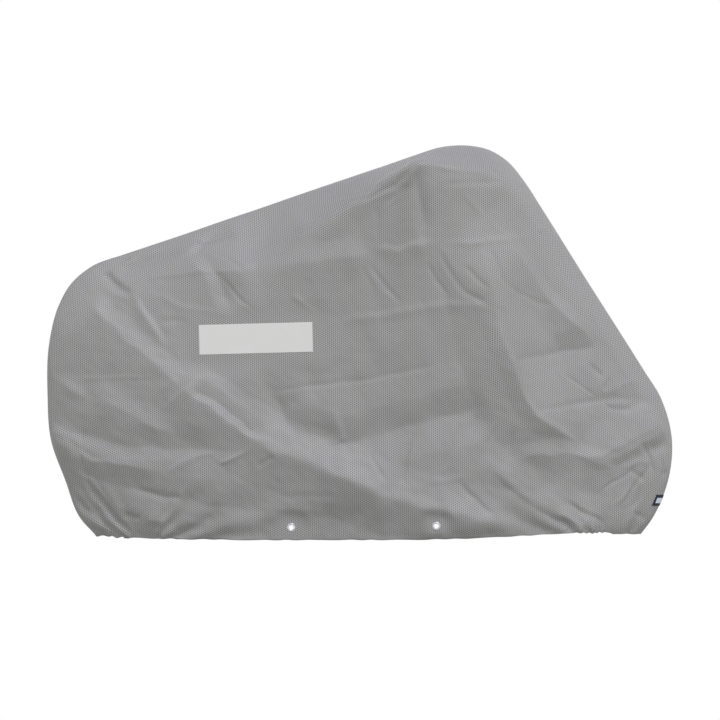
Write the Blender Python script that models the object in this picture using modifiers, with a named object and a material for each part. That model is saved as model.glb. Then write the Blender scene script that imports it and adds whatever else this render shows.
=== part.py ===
"""A fitted bicycle cover, as it hangs over a bicycle that stands with its front to +X.

Two cloth sides meet in a seam along the centre line of the bicycle. Each has two short strips of its hem
that hold an eyelet. A bare patch is on the right side, and a small label goes round the front.

The tables are in millimetres: x forward from the middle of the wheelbase, z up from the ground. A half
width is a distance from the centre line, out to either side. The world origin is inside the top, over the
handlebar.
"""
import math
from collections import namedtuple

import bmesh
import bpy
import numpy as np
from mathutils import Matrix, Vector

MM = 0.001

# Driving dimensions, in millimetres
CLOTH = 2.0              # cloth with its coating
GAP = 0.3                # between pieces that are sewn or pressed together
REST_X, REST_Z = 287.0, 1230.0    # where the handlebar carries the cover, inside its top
ROOF_ROWS = 6            # rows of faces from the seam to the shoulder
SEAM_FADE = 32.0         # folds die out this far from the seam
FOLD_TIP = 0.15          # roundness of a fold's crest, as a share of its width
FOLD_TOE = 1.25          # how softly a fold's flanks run out
FACE_TURN = 40.0         # degrees at which an edge between two faces counts as sharp

# A hem strip: a short stretch of a side's lowest band, around an eyelet
STRIP_HALF, STRIP_TOP = 60.0, 178.0     # half its length, and its height above the ground
STRIP_REACH = 400.0      # half width of the space it is cut in, well clear of both sides
EYELET_HOLE, EYELET_BARREL, EYELET_FLANGE = 7.0, 8.0, 12.0     # radii
EYELET_FLAT = 50.0       # half size of the flat cloth around an eyelet
EYELET_BLEND = 80.0      # and of the cloth around that, which runs out into the folds
HOLE_DEPTH = 40.0        # length of the cutter for an eyelet's hole
EYELET_PLATE = 0.8       # thickness of an eyelet's flange
EYELET_STEPS = 20

PATCH_LENGTH, PATCH_HEIGHT, PATCH_THICK = 331.0, 86.0, 1.0
PATCH_X, PATCH_Z = -318.0, 676.0    # its middle
PATCH_HALF_WIDTH = 159.0            # the middle's distance from the centre line
PATCH_TILT = math.radians(1.5)      # front end up
PATCH_TURN, PATCH_LEAN = 0.156, -0.038      # how the half width grows forward and upward there
PATCH_FLAT = 40.0        # flat cloth beyond the patch's edges
PATCH_BLEND = 80.0       # and cloth beyond that, which runs out into the folds

LABEL_LOW, LABEL_HIGH, LABEL_THICK = 194.0, 226.0, 1.0
LABEL_REACH = 36.0       # to either side of the seam
LABEL_CALM = 70.0        # no folds this close to the label's middle
LABEL_ROWS, LABEL_STOPS = 4, 13     # points down the label, and from the seam to either end
LABEL_SECTIONS = 6       # the label is within this many of the last sections
LABEL_TRIES = 400        # places between them that are looked through for its height
LABEL_BACK, LABEL_GRID = 90.0, 27   # how far back from the seam it is measured, and at how many points

Section = namedtuple(
    "Section", "name top_x top_z foot_x shoulder shoulder_half belly_half hem_half roundness edge")
# A section runs from its top on the seam to its foot on the hem. shoulder is where the roof turns into
# the wall, as a share of the section. roundness is that of the seam, edge the shoulder's sharpness.
SECTIONS = (
    Section("rear hem", -777, 107, -692, 0.50, 45, 58, 66, 1.0, 4),
    Section("rear pleats", -824, 159, -669, 0.45, 56, 70, 76, 1.0, 4),
    Section("rear low", -867, 268, -634, 0.38, 62, 84, 90, 1.0, 4),
    Section("rear pinch", -908, 383, -600, 0.32, 66, 100, 104, 1.0, 4),
    Section("rear full", -918, 513, -562, 0.28, 70, 114, 120, 1.0, 4),
    Section("rear high", -914, 657, -519, 0.25, 76, 124, 130, 1.0, 4),
    Section("rear notch", -889, 763, -484, 0.22, 80, 132, 138, 0.8, 4),
    Section("rear round", -853, 830, -453, 0.20, 82, 138, 144, 0.7, 4),
    Section("rear crown", -790, 884, -415, 0.17, 84, 144, 150, 0.6, 4),
    Section("carrier", -698, 918, -369, 0.14, 86, 150, 156, 0.4, 5),
    Section("carrier end", -623, 943, -332, 0.11, 86, 155, 158, 0.3, 6),
    Section("saddle back", -507, 982, -277, 0.07, 100, 160, 161, 0.3, 6),
    Section("saddle rear", -407, 1017, -225, 0.12, 134, 168, 165, 0.25, 8),
    Section("saddle middle", -320, 1046, -179, 0.175, 146, 175, 167, 0.2, 9),
    Section("saddle nose", -191, 1091, -110, 0.12, 170, 186, 171, 0.15, 12),
    Section("slope middle", -47, 1140, -32, 0.068, 212, 197, 176, 0.15, 14),
    Section("slope top", 83, 1184, 43, 0.026, 264, 204, 180, 0.15, 14),
    Section("grip", 146, 1206, 83, 0.018, 292, 207, 181, 0.2, 14),
    Section("cap rise", 215, 1227, 138, 0.04, 272, 207, 181, 0.3, 12),
    Section("cap top", 287, 1232, 190, 0.057, 250, 203, 179, 0.4, 10),
    Section("cap front", 351, 1220, 238, 0.053, 205, 197, 176, 0.5, 8),
    Section("cap fall", 408, 1185, 290, 0.05, 175, 186, 169, 0.5, 7),
    Section("stem", 457, 1126, 339, 0.06, 146, 170, 161, 0.5, 6),
    Section("stem low", 501, 1058, 380, 0.075, 122, 156, 152, 0.5, 6),
    Section("front slope", 630, 852, 463, 0.1, 98, 130, 137, 0.5, 6),
    Section("front low", 766, 638, 558, 0.13, 62, 98, 115, 0.6, 5),
    Section("nose top", 803, 579, 581, 0.14, 56, 90, 110, 0.8, 4),
    Section("nose high", 846, 510, 610, 0.16, 50, 80, 100, 1.0, 4),
    Section("nose full", 881, 375, 650, 0.22, 45, 66, 82, 1.0, 4),
    Section("nose low", 863, 245, 682, 0.30, 44, 58, 70, 1.0, 4),
    Section("nose turn", 823, 156, 699, 0.40, 42, 52, 62, 1.0, 4),
    Section("front hem", 791, 113, 711, 0.50, 38, 48, 56, 1.0, 4),
)

# The hem's height above the ground: x, z
HEM = ((-777, 107), (-677, 101), (-525, 97), (-366, 95), (135, 96), (273, 99), (342, 102),
       (483, 110), (622, 118), (694, 119), (748, 111), (791, 113))

Fold = namedtuple("Fold", "name height above below path start end", defaults=(0.3, 0.3))
# A fold stands out by its height, or sinks in if that is negative. above is its width to the left of its
# path, which is above a path that runs forward, and below its width to the right. start and end are the
# shares of its length in which it rises from the cloth and runs out into it.
RIGHT_FOLDS = (
    Fold("grip streak", -6, 30, 22, ((143, 1181), (141, 1135), (152, 1075), (166, 994), (178, 896))),
    Fold("valley above the grip ridge", -20, 40, 22,
         ((-202, 1011), (-127, 1040), (-61, 1069), (5, 1112), (80, 1170)), start=0.25, end=0.1),
    Fold("grip ridge", 6, 22, 56,
         ((-300, 896), (-234, 936), (-147, 994), (-61, 1051), (5, 1095), (97, 1167), (132, 1190))),
    Fold("crease under the saddle", 18, 56, 170,
         ((-594, 867), (-502, 873), (-392, 873), (-286, 879), (-165, 896), (-52, 910), (-6, 919),
          (31, 936)), start=0.3, end=0.15),
    Fold("bar ridge", 43, 150, 128,
         ((305, 1060), (328, 931), (357, 787), (385, 671), (403, 608), (429, 542), (452, 499),
          (475, 455), (515, 429), (573, 401), (633, 363)), start=0.3, end=0.2),
    Fold("front slope ridge", 11, 24, 26,
         ((529, 936), (570, 850), (633, 755), (679, 691), (745, 579), (789, 504))),
    Fold("front slope edge", 13, 44, 80,
         ((420, 988), (472, 896), (518, 827), (564, 769), (616, 712), (668, 660)), start=0.3, end=0.16),
    Fold("lower front slope edge", 6, 40, 50, ((558, 792), (616, 735), (679, 660))),
    Fold("crease below the middle", -5, 80, 60,
         ((-271, 533), (-159, 539), (-38, 553), (60, 576), (227, 611), (299, 622))),
    Fold("crease before the front slope", -7, 60, 60,
         ((408, 605), (501, 622), (587, 640), (662, 654)), start=0.15, end=0.15),
    Fold("crease over the hem", -16, 75, 90,
         ((-300, 568), (-263, 510), (-237, 444), (-196, 409), (-52, 372),
          (48, 401), (146, 429), (287, 464), (357, 487)), start=0.15, end=0.1),
    Fold("crease to the front", -8, 40, 50,
         ((501, 467), (558, 484), (673, 504), (789, 499), (858, 484)), start=0.4, end=0.15),
    Fold("crease at the rear", -5, 36, 44,
         ((-911, 568), (-738, 565), (-574, 562), (-479, 559)), start=0.08, end=0.2),
    Fold("saddle valley", -17, 130, 36,
         ((-507, 951), (-464, 907), (-427, 859), (-395, 772), (-375, 723)), start=0.1, end=0.35),
    Fold("valley behind the saddle", -8, 26, 26, ((-721, 864), (-623, 899), (-536, 933))),
    Fold("rear valley edge", 9, 70, 34,
         ((-715, 830), (-669, 795), (-634, 738), (-594, 683), (-559, 637)), start=0.1, end=0.3),
    Fold("rear ridge", 17, 50, 130,
         ((-818, 787), (-767, 743), (-680, 660), (-571, 565)), start=0.15, end=0.12),
    Fold("rear swell", 8, 50, 50, ((-790, 524), (-680, 455), (-530, 386))),
    Fold("rear pinch", -11, 66, 34,
         ((-911, 438), (-818, 395), (-680, 363), (-565, 357), (-435, 357), (-300, 349)),
         start=0.08, end=0.3),
    Fold("rear band", 10, 40, 56,
         ((-905, 424), (-844, 363), (-790, 331), (-680, 308), (-536, 280)), start=0.08, end=0.4),
    Fold("great ridge", 23, 95, 110,
         ((-559, 553), (-490, 501), (-421, 447), (-363, 409), (-300, 369), (-191, 329), (-75, 283),
          (40, 228), (155, 190), (270, 164), (385, 147), (558, 133)), start=0.04, end=0.2),
    Fold("front swell of the great ridge", 13, 190, 120,
         ((-162, 320), (-61, 274), (40, 228), (112, 199)), start=0.3, end=0.45),
    Fold("groove on the great ridge", -12, 38, 16,
         ((-502, 533), (-435, 490), (-363, 438), (-294, 380)), start=0.12, end=0.2),
    Fold("great valley", -11, 70, 56,
         ((-882, 297), (-784, 274), (-680, 245), (-545, 213), (-441, 196), (-291, 179),
          (-133, 159), (-41, 147)), start=0.3, end=0.4),
    Fold("belly dart", 7, 16, 45, ((-98, 490), (-81, 435), (-64, 375)), start=0.5, end=0.1),
    Fold("front pocket lip", 21, 95, 48,
         ((345, 346), (368, 308), (394, 274), (431, 236), (478, 205), (535, 176), (601, 147),
          (679, 121)), start=0.1, end=0.1),
    Fold("front pocket", -3, 20, 40, ((351, 320), (391, 257), (454, 205), (547, 153), (616, 124))),
    Fold("front wedge", 12, 40, 92,
         ((400, 317), (486, 343), (558, 349), (630, 329), (731, 297)), start=0.25, end=0.15),
    Fold("nose fold", 14, 95, 36,
         ((593, 340), (673, 337), (745, 360), (817, 395), (869, 429)), start=0.25, end=0.12),
    Fold("nose crease", -5, 14, 16, ((691, 475), (745, 473), (800, 490), (840, 478))),
    Fold("draw of the hem", -8, 80, 30,
         ((-600, 98), (-366, 95), (135, 96), (342, 102), (560, 114)), start=0.12, end=0.12),
)
LEFT_FOLDS = (
    Fold("grip streak", -8, 26, 22, ((150, 1165), (150, 1110), (165, 1030), (190, 900))),
    Fold("valley above the grip ridge", -10, 40, 26, ((-160, 1030), (-40, 1070), (90, 1165))),
    Fold("bar ridge", 12, 80, 110, ((250, 960), (300, 780), (350, 600), (430, 470))),
    Fold("end of the bar ridge", 9, 50, 40, ((410, 500), (470, 430), (560, 360), (650, 320))),
    Fold("front slope ridge", 9, 34, 36, ((500, 960), (590, 790), (700, 610), (790, 480))),
    Fold("crease below the middle", -5, 70, 60,
         ((-560, 560), (-200, 560), (150, 590), (450, 600), (700, 630))),
    Fold("crease under the saddle", 8, 36, 110, ((-650, 860), (-300, 885), (60, 930), (300, 950))),
    Fold("crease over the hem", -11, 70, 64,
         ((-230, 520), (-150, 420), (60, 400), (300, 440), (420, 480))),
    Fold("saddle valley", -11, 50, 50, ((-480, 940), (-450, 860), (-380, 750), (-320, 640))),
    Fold("rear valley edge", 9, 56, 34, ((-760, 840), (-680, 740), (-600, 620), (-500, 520))),
    Fold("rear ridge", 12, 56, 60, ((-850, 690), (-740, 580), (-600, 470), (-440, 380))),
    Fold("rear pinch", -10, 50, 36, ((-900, 400), (-760, 360), (-560, 330), (-300, 330))),
    Fold("great ridge", 22, 90, 80, ((-460, 460), (-240, 330), (-40, 270), (200, 210), (480, 150))),
    Fold("great valley", -16, 60, 56, ((-860, 270), (-600, 230), (-280, 190), (60, 160), (440, 135))),
    Fold("front pocket lip", 11, 44, 36, ((300, 400), (420, 290), (540, 200), (640, 150))),
    Fold("nose fold", 8, 34, 34, ((640, 360), (740, 390), (860, 420))),
    Fold("draw of the hem", -5, 80, 30,
         ((-600, 98), (-366, 95), (135, 96), (342, 102), (560, 114)), start=0.12, end=0.12),
)

PLEAT_LOW = 95.0         # height above the ground from which pleats run out
PLEAT_INNER = 20.0       # no pleat this close to the fan's middle
PLEAT_SPREAD = 60.0      # and over this far beyond, pleats grow to their full height
Pleats = namedtuple("Pleats", "name x z reach count height")
# Pleats fan out from the drawn-in hem around each wheel: x, z is the point they run to.
PLEATS = (
    Pleats("rear", -640.0, 60.0, 230.0, 11, 3.5),
    Pleats("front", 690.0, 40.0, 220.0, 10, 3.5),
)

Eyelet = namedtuple("Eyelet", "name x z right_half left_half")
EYELETS = (
    Eyelet("rear", -216.0, 132.0, 156.0, 162.0),
    Eyelet("front", 202.0, 136.0, 190.0, 172.0),
)

Side = namedtuple("Side", "name sign folds cell seam_cell wall_rows")
# sign is the way out along y. A face is at most about cell wide half way down, and seam_cell at the seam.
SIDES = (
    Side("right", -1, RIGHT_FOLDS, 42.0, 58.0, 28),
    Side("left", 1, LEFT_FOLDS, 70.0, 76.0, 18),
)


def clear_scene():
    for thing in list(bpy.data.objects):
        bpy.data.objects.remove(thing, do_unlink=True)


def material(name, colour, roughness, metallic=0.0):
    made = bpy.data.materials.new(name)
    made.use_nodes = True
    shader = made.node_tree.nodes["Principled BSDF"]
    shader.inputs["Base Color"].default_value = (*colour, 1.0)
    shader.inputs["Roughness"].default_value = roughness
    shader.inputs["Metallic"].default_value = metallic
    return made


# ---- the cloth's form ----------------------------------------------------------------------------

def ease(share):
    """0 to 1 with no kink at either end."""
    held = np.clip(share, 0.0, 1.0)
    return held * held * (3.0 - 2.0 * held)


def smooth_rows(knots, rows, places):
    """The table's rows at any places between its knots, on one smooth curve."""
    slopes = np.gradient(rows, knots, axis=0)
    low = np.clip(np.searchsorted(knots, places, side="right") - 1, 0, len(knots) - 2)
    span = (knots[low + 1] - knots[low])[:, None]
    share = (places - knots[low])[:, None] / span
    rise = share * share * (3.0 - 2.0 * share)
    leave = share * (1.0 - share) ** 2
    arrive = share * share * (share - 1.0)
    ends = rows[low] * (1.0 - rise) + rows[low + 1] * rise
    return ends + span * (leave * slopes[low] + arrive * slopes[low + 1])


def section_knots():
    """A place for each section: half way between the lengths run along the seam and along the hem."""
    rows = np.array([section[1:] for section in SECTIONS], float)
    seam_runs = np.hypot(np.diff(rows[:, 0]), np.diff(rows[:, 1]))
    hem_runs = np.abs(np.diff(rows[:, 2]))
    return np.concatenate(([0.0], np.cumsum((seam_runs + hem_runs) / 2))), rows


def section_places(side):
    """Places of the grid's columns, with a whole number of faces from each section to the next."""
    knots, rows = section_knots()
    seam_runs = np.hypot(np.diff(rows[:, 0]), np.diff(rows[:, 1]))
    places = [knots[0]]
    for low, high, seam_run in zip(knots[:-1], knots[1:], seam_runs):
        count = max(1, round((high - low) / side.cell), round(seam_run / side.seam_cell))
        places.extend(low + (high - low) * (step + 1) / count for step in range(count))
    return np.array(places)


def row_shares(shoulder, wall_rows):
    """Each column's shares of its section: close at the seam, even down the wall."""
    roof = (np.arange(ROOF_ROWS) / ROOF_ROWS) ** 1.4
    wall = np.arange(wall_rows + 1) / wall_rows
    return np.concatenate((shoulder * roof, shoulder + (1.0 - shoulder) * wall), axis=1)


def half_width(share, shoulder, shoulder_half, belly_half, hem_half, roundness, edge):
    """Distance from the centre line at a share of a section: a round roof, then a slack wall."""
    out = share / shoulder
    roof = shoulder_half * np.sqrt((out * out + 2.0 * roundness * out) / (1.0 + 2.0 * roundness))
    down = np.clip((share - shoulder) / (1.0 - shoulder), 0.0, 1.0)
    swell = belly_half - (shoulder_half + hem_half) / 2
    wall = shoulder_half * (1.0 - down) + hem_half * down + 4.0 * swell * down * (1.0 - down)
    return roof * wall / (roof ** edge + wall ** edge) ** (1.0 / edge)


def fold_height(x, z, folds):
    """How far all the folds together lift the cloth at x, z."""
    spots = np.stack((x, z), axis=-1)[..., None, :]
    lift = np.zeros(x.shape)
    for fold in folds:
        path = np.array(fold.path, float)
        runs = np.diff(path, axis=0)
        lengths = np.hypot(runs[:, 0], runs[:, 1])
        starts = np.concatenate(([0.0], np.cumsum(lengths)[:-1]))
        away = spots - path[:-1]
        share = np.clip((away * runs).sum(-1) / lengths ** 2, 0.0, 1.0)
        off = away - share[..., None] * runs
        distance = np.hypot(off[..., 0], off[..., 1])
        above = runs[:, 0] * off[..., 1] - runs[:, 1] * off[..., 0] > 0
        nearest = distance.argmin(-1)[..., None]
        along = np.take_along_axis(starts + share * lengths, nearest, -1)[..., 0] / lengths.sum()
        width = np.where(np.take_along_axis(above, nearest, -1)[..., 0], fold.above, fold.below)
        across = np.take_along_axis(distance, nearest, -1)[..., 0] / width
        round_off = np.sqrt(across * across + FOLD_TIP * FOLD_TIP) - FOLD_TIP
        crest = np.clip(1.0 - round_off, 0.0, 1.0) ** FOLD_TOE
        lift += fold.height * crest * ease(along / fold.start) * ease((1.0 - along) / fold.end)
    return lift


def pleat_height(x, z):
    """Pleats of the drawn-in hem at both ends."""
    lift = np.zeros(x.shape)
    for pleats in PLEATS:
        angle = np.arctan2(z - pleats.z, x - pleats.x)
        reach = 1.0 - ease((z - PLEAT_LOW) / pleats.reach)
        outer = ease((np.abs(x - pleats.x) - PLEAT_INNER) / PLEAT_SPREAD)
        lift += pleats.height * reach * outer * np.sin(2.0 * pleats.count * angle + np.sin(5.0 * angle))
    return lift


def calm_share(x, z):
    """0 where the label needs smooth cloth, 1 away from it."""
    middle_x = np.interp((LABEL_LOW + LABEL_HIGH) / 2, (156, 245), (823, 863))
    distance = np.hypot(x - middle_x, z - (LABEL_LOW + LABEL_HIGH) / 2)
    return ease((distance - LABEL_CALM) / LABEL_CALM)


def rectangle_share(x, z, middle_x, middle_z, half_x, half_z, tilt, blend):
    """1 inside a rectangle, falling to 0 over the blend around it."""
    along = (x - middle_x) * math.cos(tilt) + (z - middle_z) * math.sin(tilt)
    across = (z - middle_z) * math.cos(tilt) - (x - middle_x) * math.sin(tilt)
    past_x = np.maximum(np.abs(along) - half_x, 0.0)
    past_z = np.maximum(np.abs(across) - half_z, 0.0)
    return 1.0 - ease(np.hypot(past_x, past_z) / blend)


def patch_plane(x, z):
    return PATCH_HALF_WIDTH + PATCH_TURN * (x - PATCH_X) + PATCH_LEAN * (z - PATCH_Z)


def eyelet_half(side, eyelet):
    return eyelet.right_half if side.sign < 0 else eyelet.left_half


def flatten(points, side):
    """Brings the cloth into the plane of the patch, and of each eyelet."""
    x, out, z = points[..., 0], points[..., 1], points[..., 2]
    if side.sign < 0:
        share = rectangle_share(x, z, PATCH_X, PATCH_Z, PATCH_LENGTH / 2 + PATCH_FLAT,
                                PATCH_HEIGHT / 2 + PATCH_FLAT, PATCH_TILT, PATCH_BLEND)
        out += share * (patch_plane(x, z) - out)
    for eyelet in EYELETS:
        share = rectangle_share(x, z, eyelet.x, eyelet.z, EYELET_FLAT, EYELET_FLAT, 0.0, EYELET_BLEND)
        out += share * (eyelet_half(side, eyelet) - out)


def hem_height(x):
    return np.interp(x, *np.array(HEM, float).T)


def bare_points(columns, share):
    """Cloth with no fold in it, at a share of each section. y is out from the centre line."""
    top_x, top_z, foot_x, shoulder, shoulder_half, belly_half, hem_half, roundness, edge = columns
    x = top_x + (foot_x - top_x) * share
    z = top_z + (hem_height(foot_x) - top_z) * share
    out = half_width(share, shoulder, shoulder_half, belly_half, hem_half, roundness, edge)
    return np.stack((x, out, z), axis=-1)


def grid_normals(points):
    normals = np.cross(np.gradient(points, axis=0), np.gradient(points, axis=1))
    return normals / np.maximum(np.linalg.norm(normals, axis=-1, keepdims=True), 1e-9)


def sheet_points(side):
    """The outer face of one side as a grid of points."""
    columns = smooth_rows(*section_knots(), section_places(side)).T[..., None]
    top_x, top_z, foot_x, shoulder = columns[:4]
    share = row_shares(shoulder, side.wall_rows)
    points = bare_points(columns, share)
    x, z = points[..., 0], points[..., 2]
    from_seam = share * np.hypot(foot_x - top_x, hem_height(foot_x) - top_z)
    lift = fold_height(x, z, side.folds) + pleat_height(x, z)
    lift *= calm_share(x, z) * ease(from_seam / SEAM_FADE)
    points = points + grid_normals(points) * lift[..., None]
    points[:, 0, 1] = 0.0
    flatten(points, side)
    return points


# ---- meshes --------------------------------------------------------------------------------------

def add_object(name, mesh, collection, look=None):
    made = bpy.data.objects.new(name, mesh)
    collection.objects.link(made)
    if look:
        mesh.materials.append(look)
    return made


def grid_mesh(name, points, flip):
    """A loft through rows of points, with its faces towards the cloth's outside."""
    columns, rows = points.shape[:2]
    shape = bmesh.new()
    corners = [shape.verts.new(Vector(point) * MM) for point in points.reshape(-1, 3)]
    for column in range(columns - 1):
        for row in range(rows - 1):
            first = column * rows + row
            ring = (first, first + 1, first + rows + 1, first + rows)
            if flip:
                ring = ring[::-1]
            shape.faces.new([corners[index] for index in ring])
    bmesh.ops.triangulate(shape, faces=shape.faces[:], quad_method="SHORT_EDGE")
    mesh = bpy.data.meshes.new(name)
    shape.to_mesh(mesh)
    shape.free()
    return mesh


def settle(thing):
    """Replaces an object's mesh by its mesh with the modifiers applied."""
    bpy.context.view_layer.update()
    evaluated = thing.evaluated_get(bpy.context.evaluated_depsgraph_get())
    mesh = bpy.data.meshes.new_from_object(evaluated)
    thing.modifiers.clear()
    thing.data = mesh


def solidify(thing, thickness, offset):
    shell = thing.modifiers.new("cloth", "SOLIDIFY")
    shell.thickness = thickness * MM
    shell.offset = offset
    settle(thing)


def cut(thing, cutter, operation):
    step = thing.modifiers.new(operation.lower(), "BOOLEAN")
    step.operation = operation
    step.solver = "EXACT"
    step.object = cutter


def box_cutter(name, low, high, collection):
    bpy.ops.mesh.primitive_cube_add(size=1.0)
    cutter = bpy.context.active_object
    cutter.name = name
    low, high = Vector(low) * MM, Vector(high) * MM
    cutter.data.transform(Matrix.Translation((low + high) / 2) @ Matrix.Diagonal((*(high - low), 1.0)))
    return hide_cutter(cutter, collection)


def hole_cutter(name, eyelet, side, collection):
    bpy.ops.mesh.primitive_cylinder_add(
        vertices=EYELET_STEPS, radius=(EYELET_BARREL + GAP) * MM, depth=HOLE_DEPTH * MM)
    cutter = bpy.context.active_object
    cutter.name = name
    spot = Vector((eyelet.x, side.sign * eyelet_half(side, eyelet), eyelet.z)) * MM
    cutter.data.transform(Matrix.Translation(spot) @ Matrix.Rotation(math.pi / 2, 4, "X"))
    return hide_cutter(cutter, collection)


def hide_cutter(cutter, collection):
    for home in list(cutter.users_collection):
        home.objects.unlink(cutter)
    collection.objects.link(cutter)
    cutter.hide_render = True
    cutter.display_type = "WIRE"
    return cutter


# ---- the pieces ----------------------------------------------------------------------------------

def strip_box(eyelet, margin):
    """Corners of the space that a hem strip is cut in, pulled in or let out by a margin."""
    low = (eyelet.x - STRIP_HALF - margin, -STRIP_REACH, 0.0)
    high = (eyelet.x + STRIP_HALF + margin, STRIP_REACH, STRIP_TOP + margin)
    return low, high


def side_and_strips(side, look, parts, cutters):
    """One side of the cover, and the two hem strips that are cut from its lower edge."""
    points = sheet_points(side)
    points[..., 1] *= side.sign
    panel = add_object(f"side_panel_{side.name}", grid_mesh("side", points, side.sign > 0), parts, look)
    solidify(panel, CLOTH, -1.0)
    for corner in panel.data.vertices:
        out = max(side.sign * corner.co.y, GAP / 2 * MM)
        corner.co.y = side.sign * out
    pieces = [panel]
    for eyelet in EYELETS:
        ending = f"{side.name}_{eyelet.name}"
        strip = add_object(f"hem_strip_{ending}", panel.data.copy(), parts)
        room = box_cutter(f"strip_room_{ending}", *strip_box(eyelet, GAP / 2), cutters)
        form = box_cutter(f"strip_form_{ending}", *strip_box(eyelet, -GAP / 2), cutters)
        cut(panel, room, "DIFFERENCE")
        cut(strip, form, "INTERSECT")
        cut(strip, hole_cutter(f"hole_{ending}", eyelet, side, cutters), "DIFFERENCE")
        pieces.append(strip)
    return pieces


def eyelet_ring(side, eyelet, look, parts):
    """A turned eyelet: a barrel through the cloth, with a flange on each face."""
    seat = CLOTH / 2 + GAP
    face = seat + EYELET_PLATE
    profile = (
        (EYELET_HOLE, face - 0.3), (EYELET_HOLE + 0.4, face), (EYELET_FLANGE - 0.6, face),
        (EYELET_FLANGE, face - 0.4), (EYELET_FLANGE, seat), (EYELET_BARREL, seat), (EYELET_BARREL, -seat),
        (EYELET_FLANGE - 0.5, -seat), (EYELET_FLANGE - 0.5, -face), (EYELET_HOLE, -face),
    )
    mesh = bpy.data.meshes.new("eyelet")
    count = len(profile)
    corners = [(radius * MM, 0.0, height * MM) for radius, height in profile]
    mesh.from_pydata(corners, [(index, (index + 1) % count) for index in range(count)], [])
    ring = add_object(f"eyelet_{side.name}_{eyelet.name}", mesh, parts, look)
    turn = ring.modifiers.new("turn", "SCREW")
    turn.axis = "Z"
    turn.angle = math.tau
    turn.steps = turn.render_steps = EYELET_STEPS
    turn.use_merge_vertices = True
    turn.merge_threshold = 1e-5
    ring.location = Vector((eyelet.x, side.sign * (eyelet_half(side, eyelet) - CLOTH / 2), eyelet.z)) * MM
    ring.rotation_euler.x = -side.sign * math.pi / 2
    return ring


def bare_patch(look, parts):
    """The pale patch, a flat plate on the right side's flattened cloth."""
    along = Vector((1.0, -PATCH_TURN, 0.0))
    up = Vector((0.0, -PATCH_LEAN, 1.0))
    out = along.cross(up).normalized()
    out = out if out.y < 0 else -out
    tilted = (along * math.cos(PATCH_TILT) + up * math.sin(PATCH_TILT)).normalized()
    bpy.ops.mesh.primitive_cube_add(size=1.0)
    patch = bpy.context.active_object
    patch.name = "bare_patch"
    patch.data.materials.append(look)
    for home in list(patch.users_collection):
        home.objects.unlink(patch)
    parts.objects.link(patch)
    size = Vector((PATCH_LENGTH, PATCH_THICK, PATCH_HEIGHT)) * MM
    patch.data.transform(Matrix.Diagonal((*size, 1.0)))
    frame = Matrix((tilted, -out, tilted.cross(-out))).transposed()
    middle = Vector((PATCH_X, -PATCH_HALF_WIDTH, PATCH_Z))
    patch.location = (middle + out * (GAP + PATCH_THICK / 2)) * MM
    patch.rotation_euler = frame.to_euler()
    return patch


def level_points(heights):
    """Points of the bare cloth in level rows, from the front seam back."""
    knots, rows = section_knots()
    every = np.linspace(knots[-LABEL_SECTIONS], knots[-1], LABEL_TRIES)
    seam_heights = smooth_rows(knots, rows, every)[:, 1]
    back = LABEL_BACK * np.linspace(0.0, 1.0, LABEL_GRID) ** 2
    level = []
    for height in heights:
        place = np.interp(height, seam_heights[::-1], every[::-1])
        columns = smooth_rows(knots, rows, place - back).T
        top_z, foot_z = columns[1], hem_height(columns[2])
        level.append(bare_points(columns, np.maximum((top_z - height) / (top_z - foot_z), 0.0)))
    return np.array(level)


def front_label(look, parts):
    """A level label that goes round the front, over the seam."""
    points = level_points(np.linspace(LABEL_HIGH, LABEL_LOW, LABEL_ROWS))
    points[:, 0, 1] = 0.0
    normals = grid_normals(points)
    normals[:, 0] *= (1.0, 0.0, 1.0)
    half = points + GAP * normals
    reach = np.concatenate((np.zeros((LABEL_ROWS, 1)), np.cumsum(
        np.linalg.norm(np.diff(half, axis=1), axis=-1), axis=1)), axis=1)
    stops = np.linspace(0.0, LABEL_REACH, LABEL_STOPS)
    strip = np.array([[np.interp(stops, reach[row], half[row, :, axis]) for axis in range(3)]
                      for row in range(LABEL_ROWS)]).transpose(0, 2, 1)
    other = strip[:, :0:-1] * (1.0, -1.0, 1.0)
    both = np.concatenate((other, strip), axis=1)
    label = add_object("front_label", grid_mesh("label", both, True), parts, look)
    solidify(label, LABEL_THICK, 1.0)
    return label


def build():
    clear_scene()
    parts = bpy.data.collections.new("bicycle_cover")
    cutters = bpy.data.collections.new("cutters")
    bpy.context.scene.collection.children.link(parts)
    bpy.context.scene.collection.children.link(cutters)
    cloth = material("cloth", (0.27, 0.27, 0.26), 0.62)
    metal = material("eyelet_metal", (0.72, 0.72, 0.73), 0.28, 1.0)
    patch_look = material("patch_cloth", (0.63, 0.63, 0.61), 0.7)
    label_look = material("label_cloth", (0.02, 0.04, 0.08), 0.6)

    pieces = []
    for side in SIDES:
        pieces.extend(side_and_strips(side, cloth, parts, cutters))
        pieces.extend(eyelet_ring(side, eyelet, metal, parts) for eyelet in EYELETS)
    pieces.append(bare_patch(patch_look, parts))
    pieces.append(front_label(label_look, parts))

    rest = bpy.data.objects.new("cover_frame", None)
    parts.objects.link(rest)
    rest.location = Vector((-REST_X, 0.0, -REST_Z)) * MM
    for piece in pieces + list(cutters.objects):
        piece.parent = rest
    for piece in pieces:
        piece.data.shade_smooth()
        piece.data.set_sharp_from_angle(angle=math.radians(FACE_TURN))
    bpy.context.view_layer.update()


build()
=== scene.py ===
"""Looks for the bicycle cover: its cloth with every crease, dotted fabric, turned metal eyelets, the bare
patch and the front label, on a pale floor.

The tables are in millimetres: x forward from the middle of the wheelbase, z up from the ground. A half width
is a distance from the centre line, out to either side. The world origin is inside the top, over the
handlebar.
"""
import math
from collections import namedtuple

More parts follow.
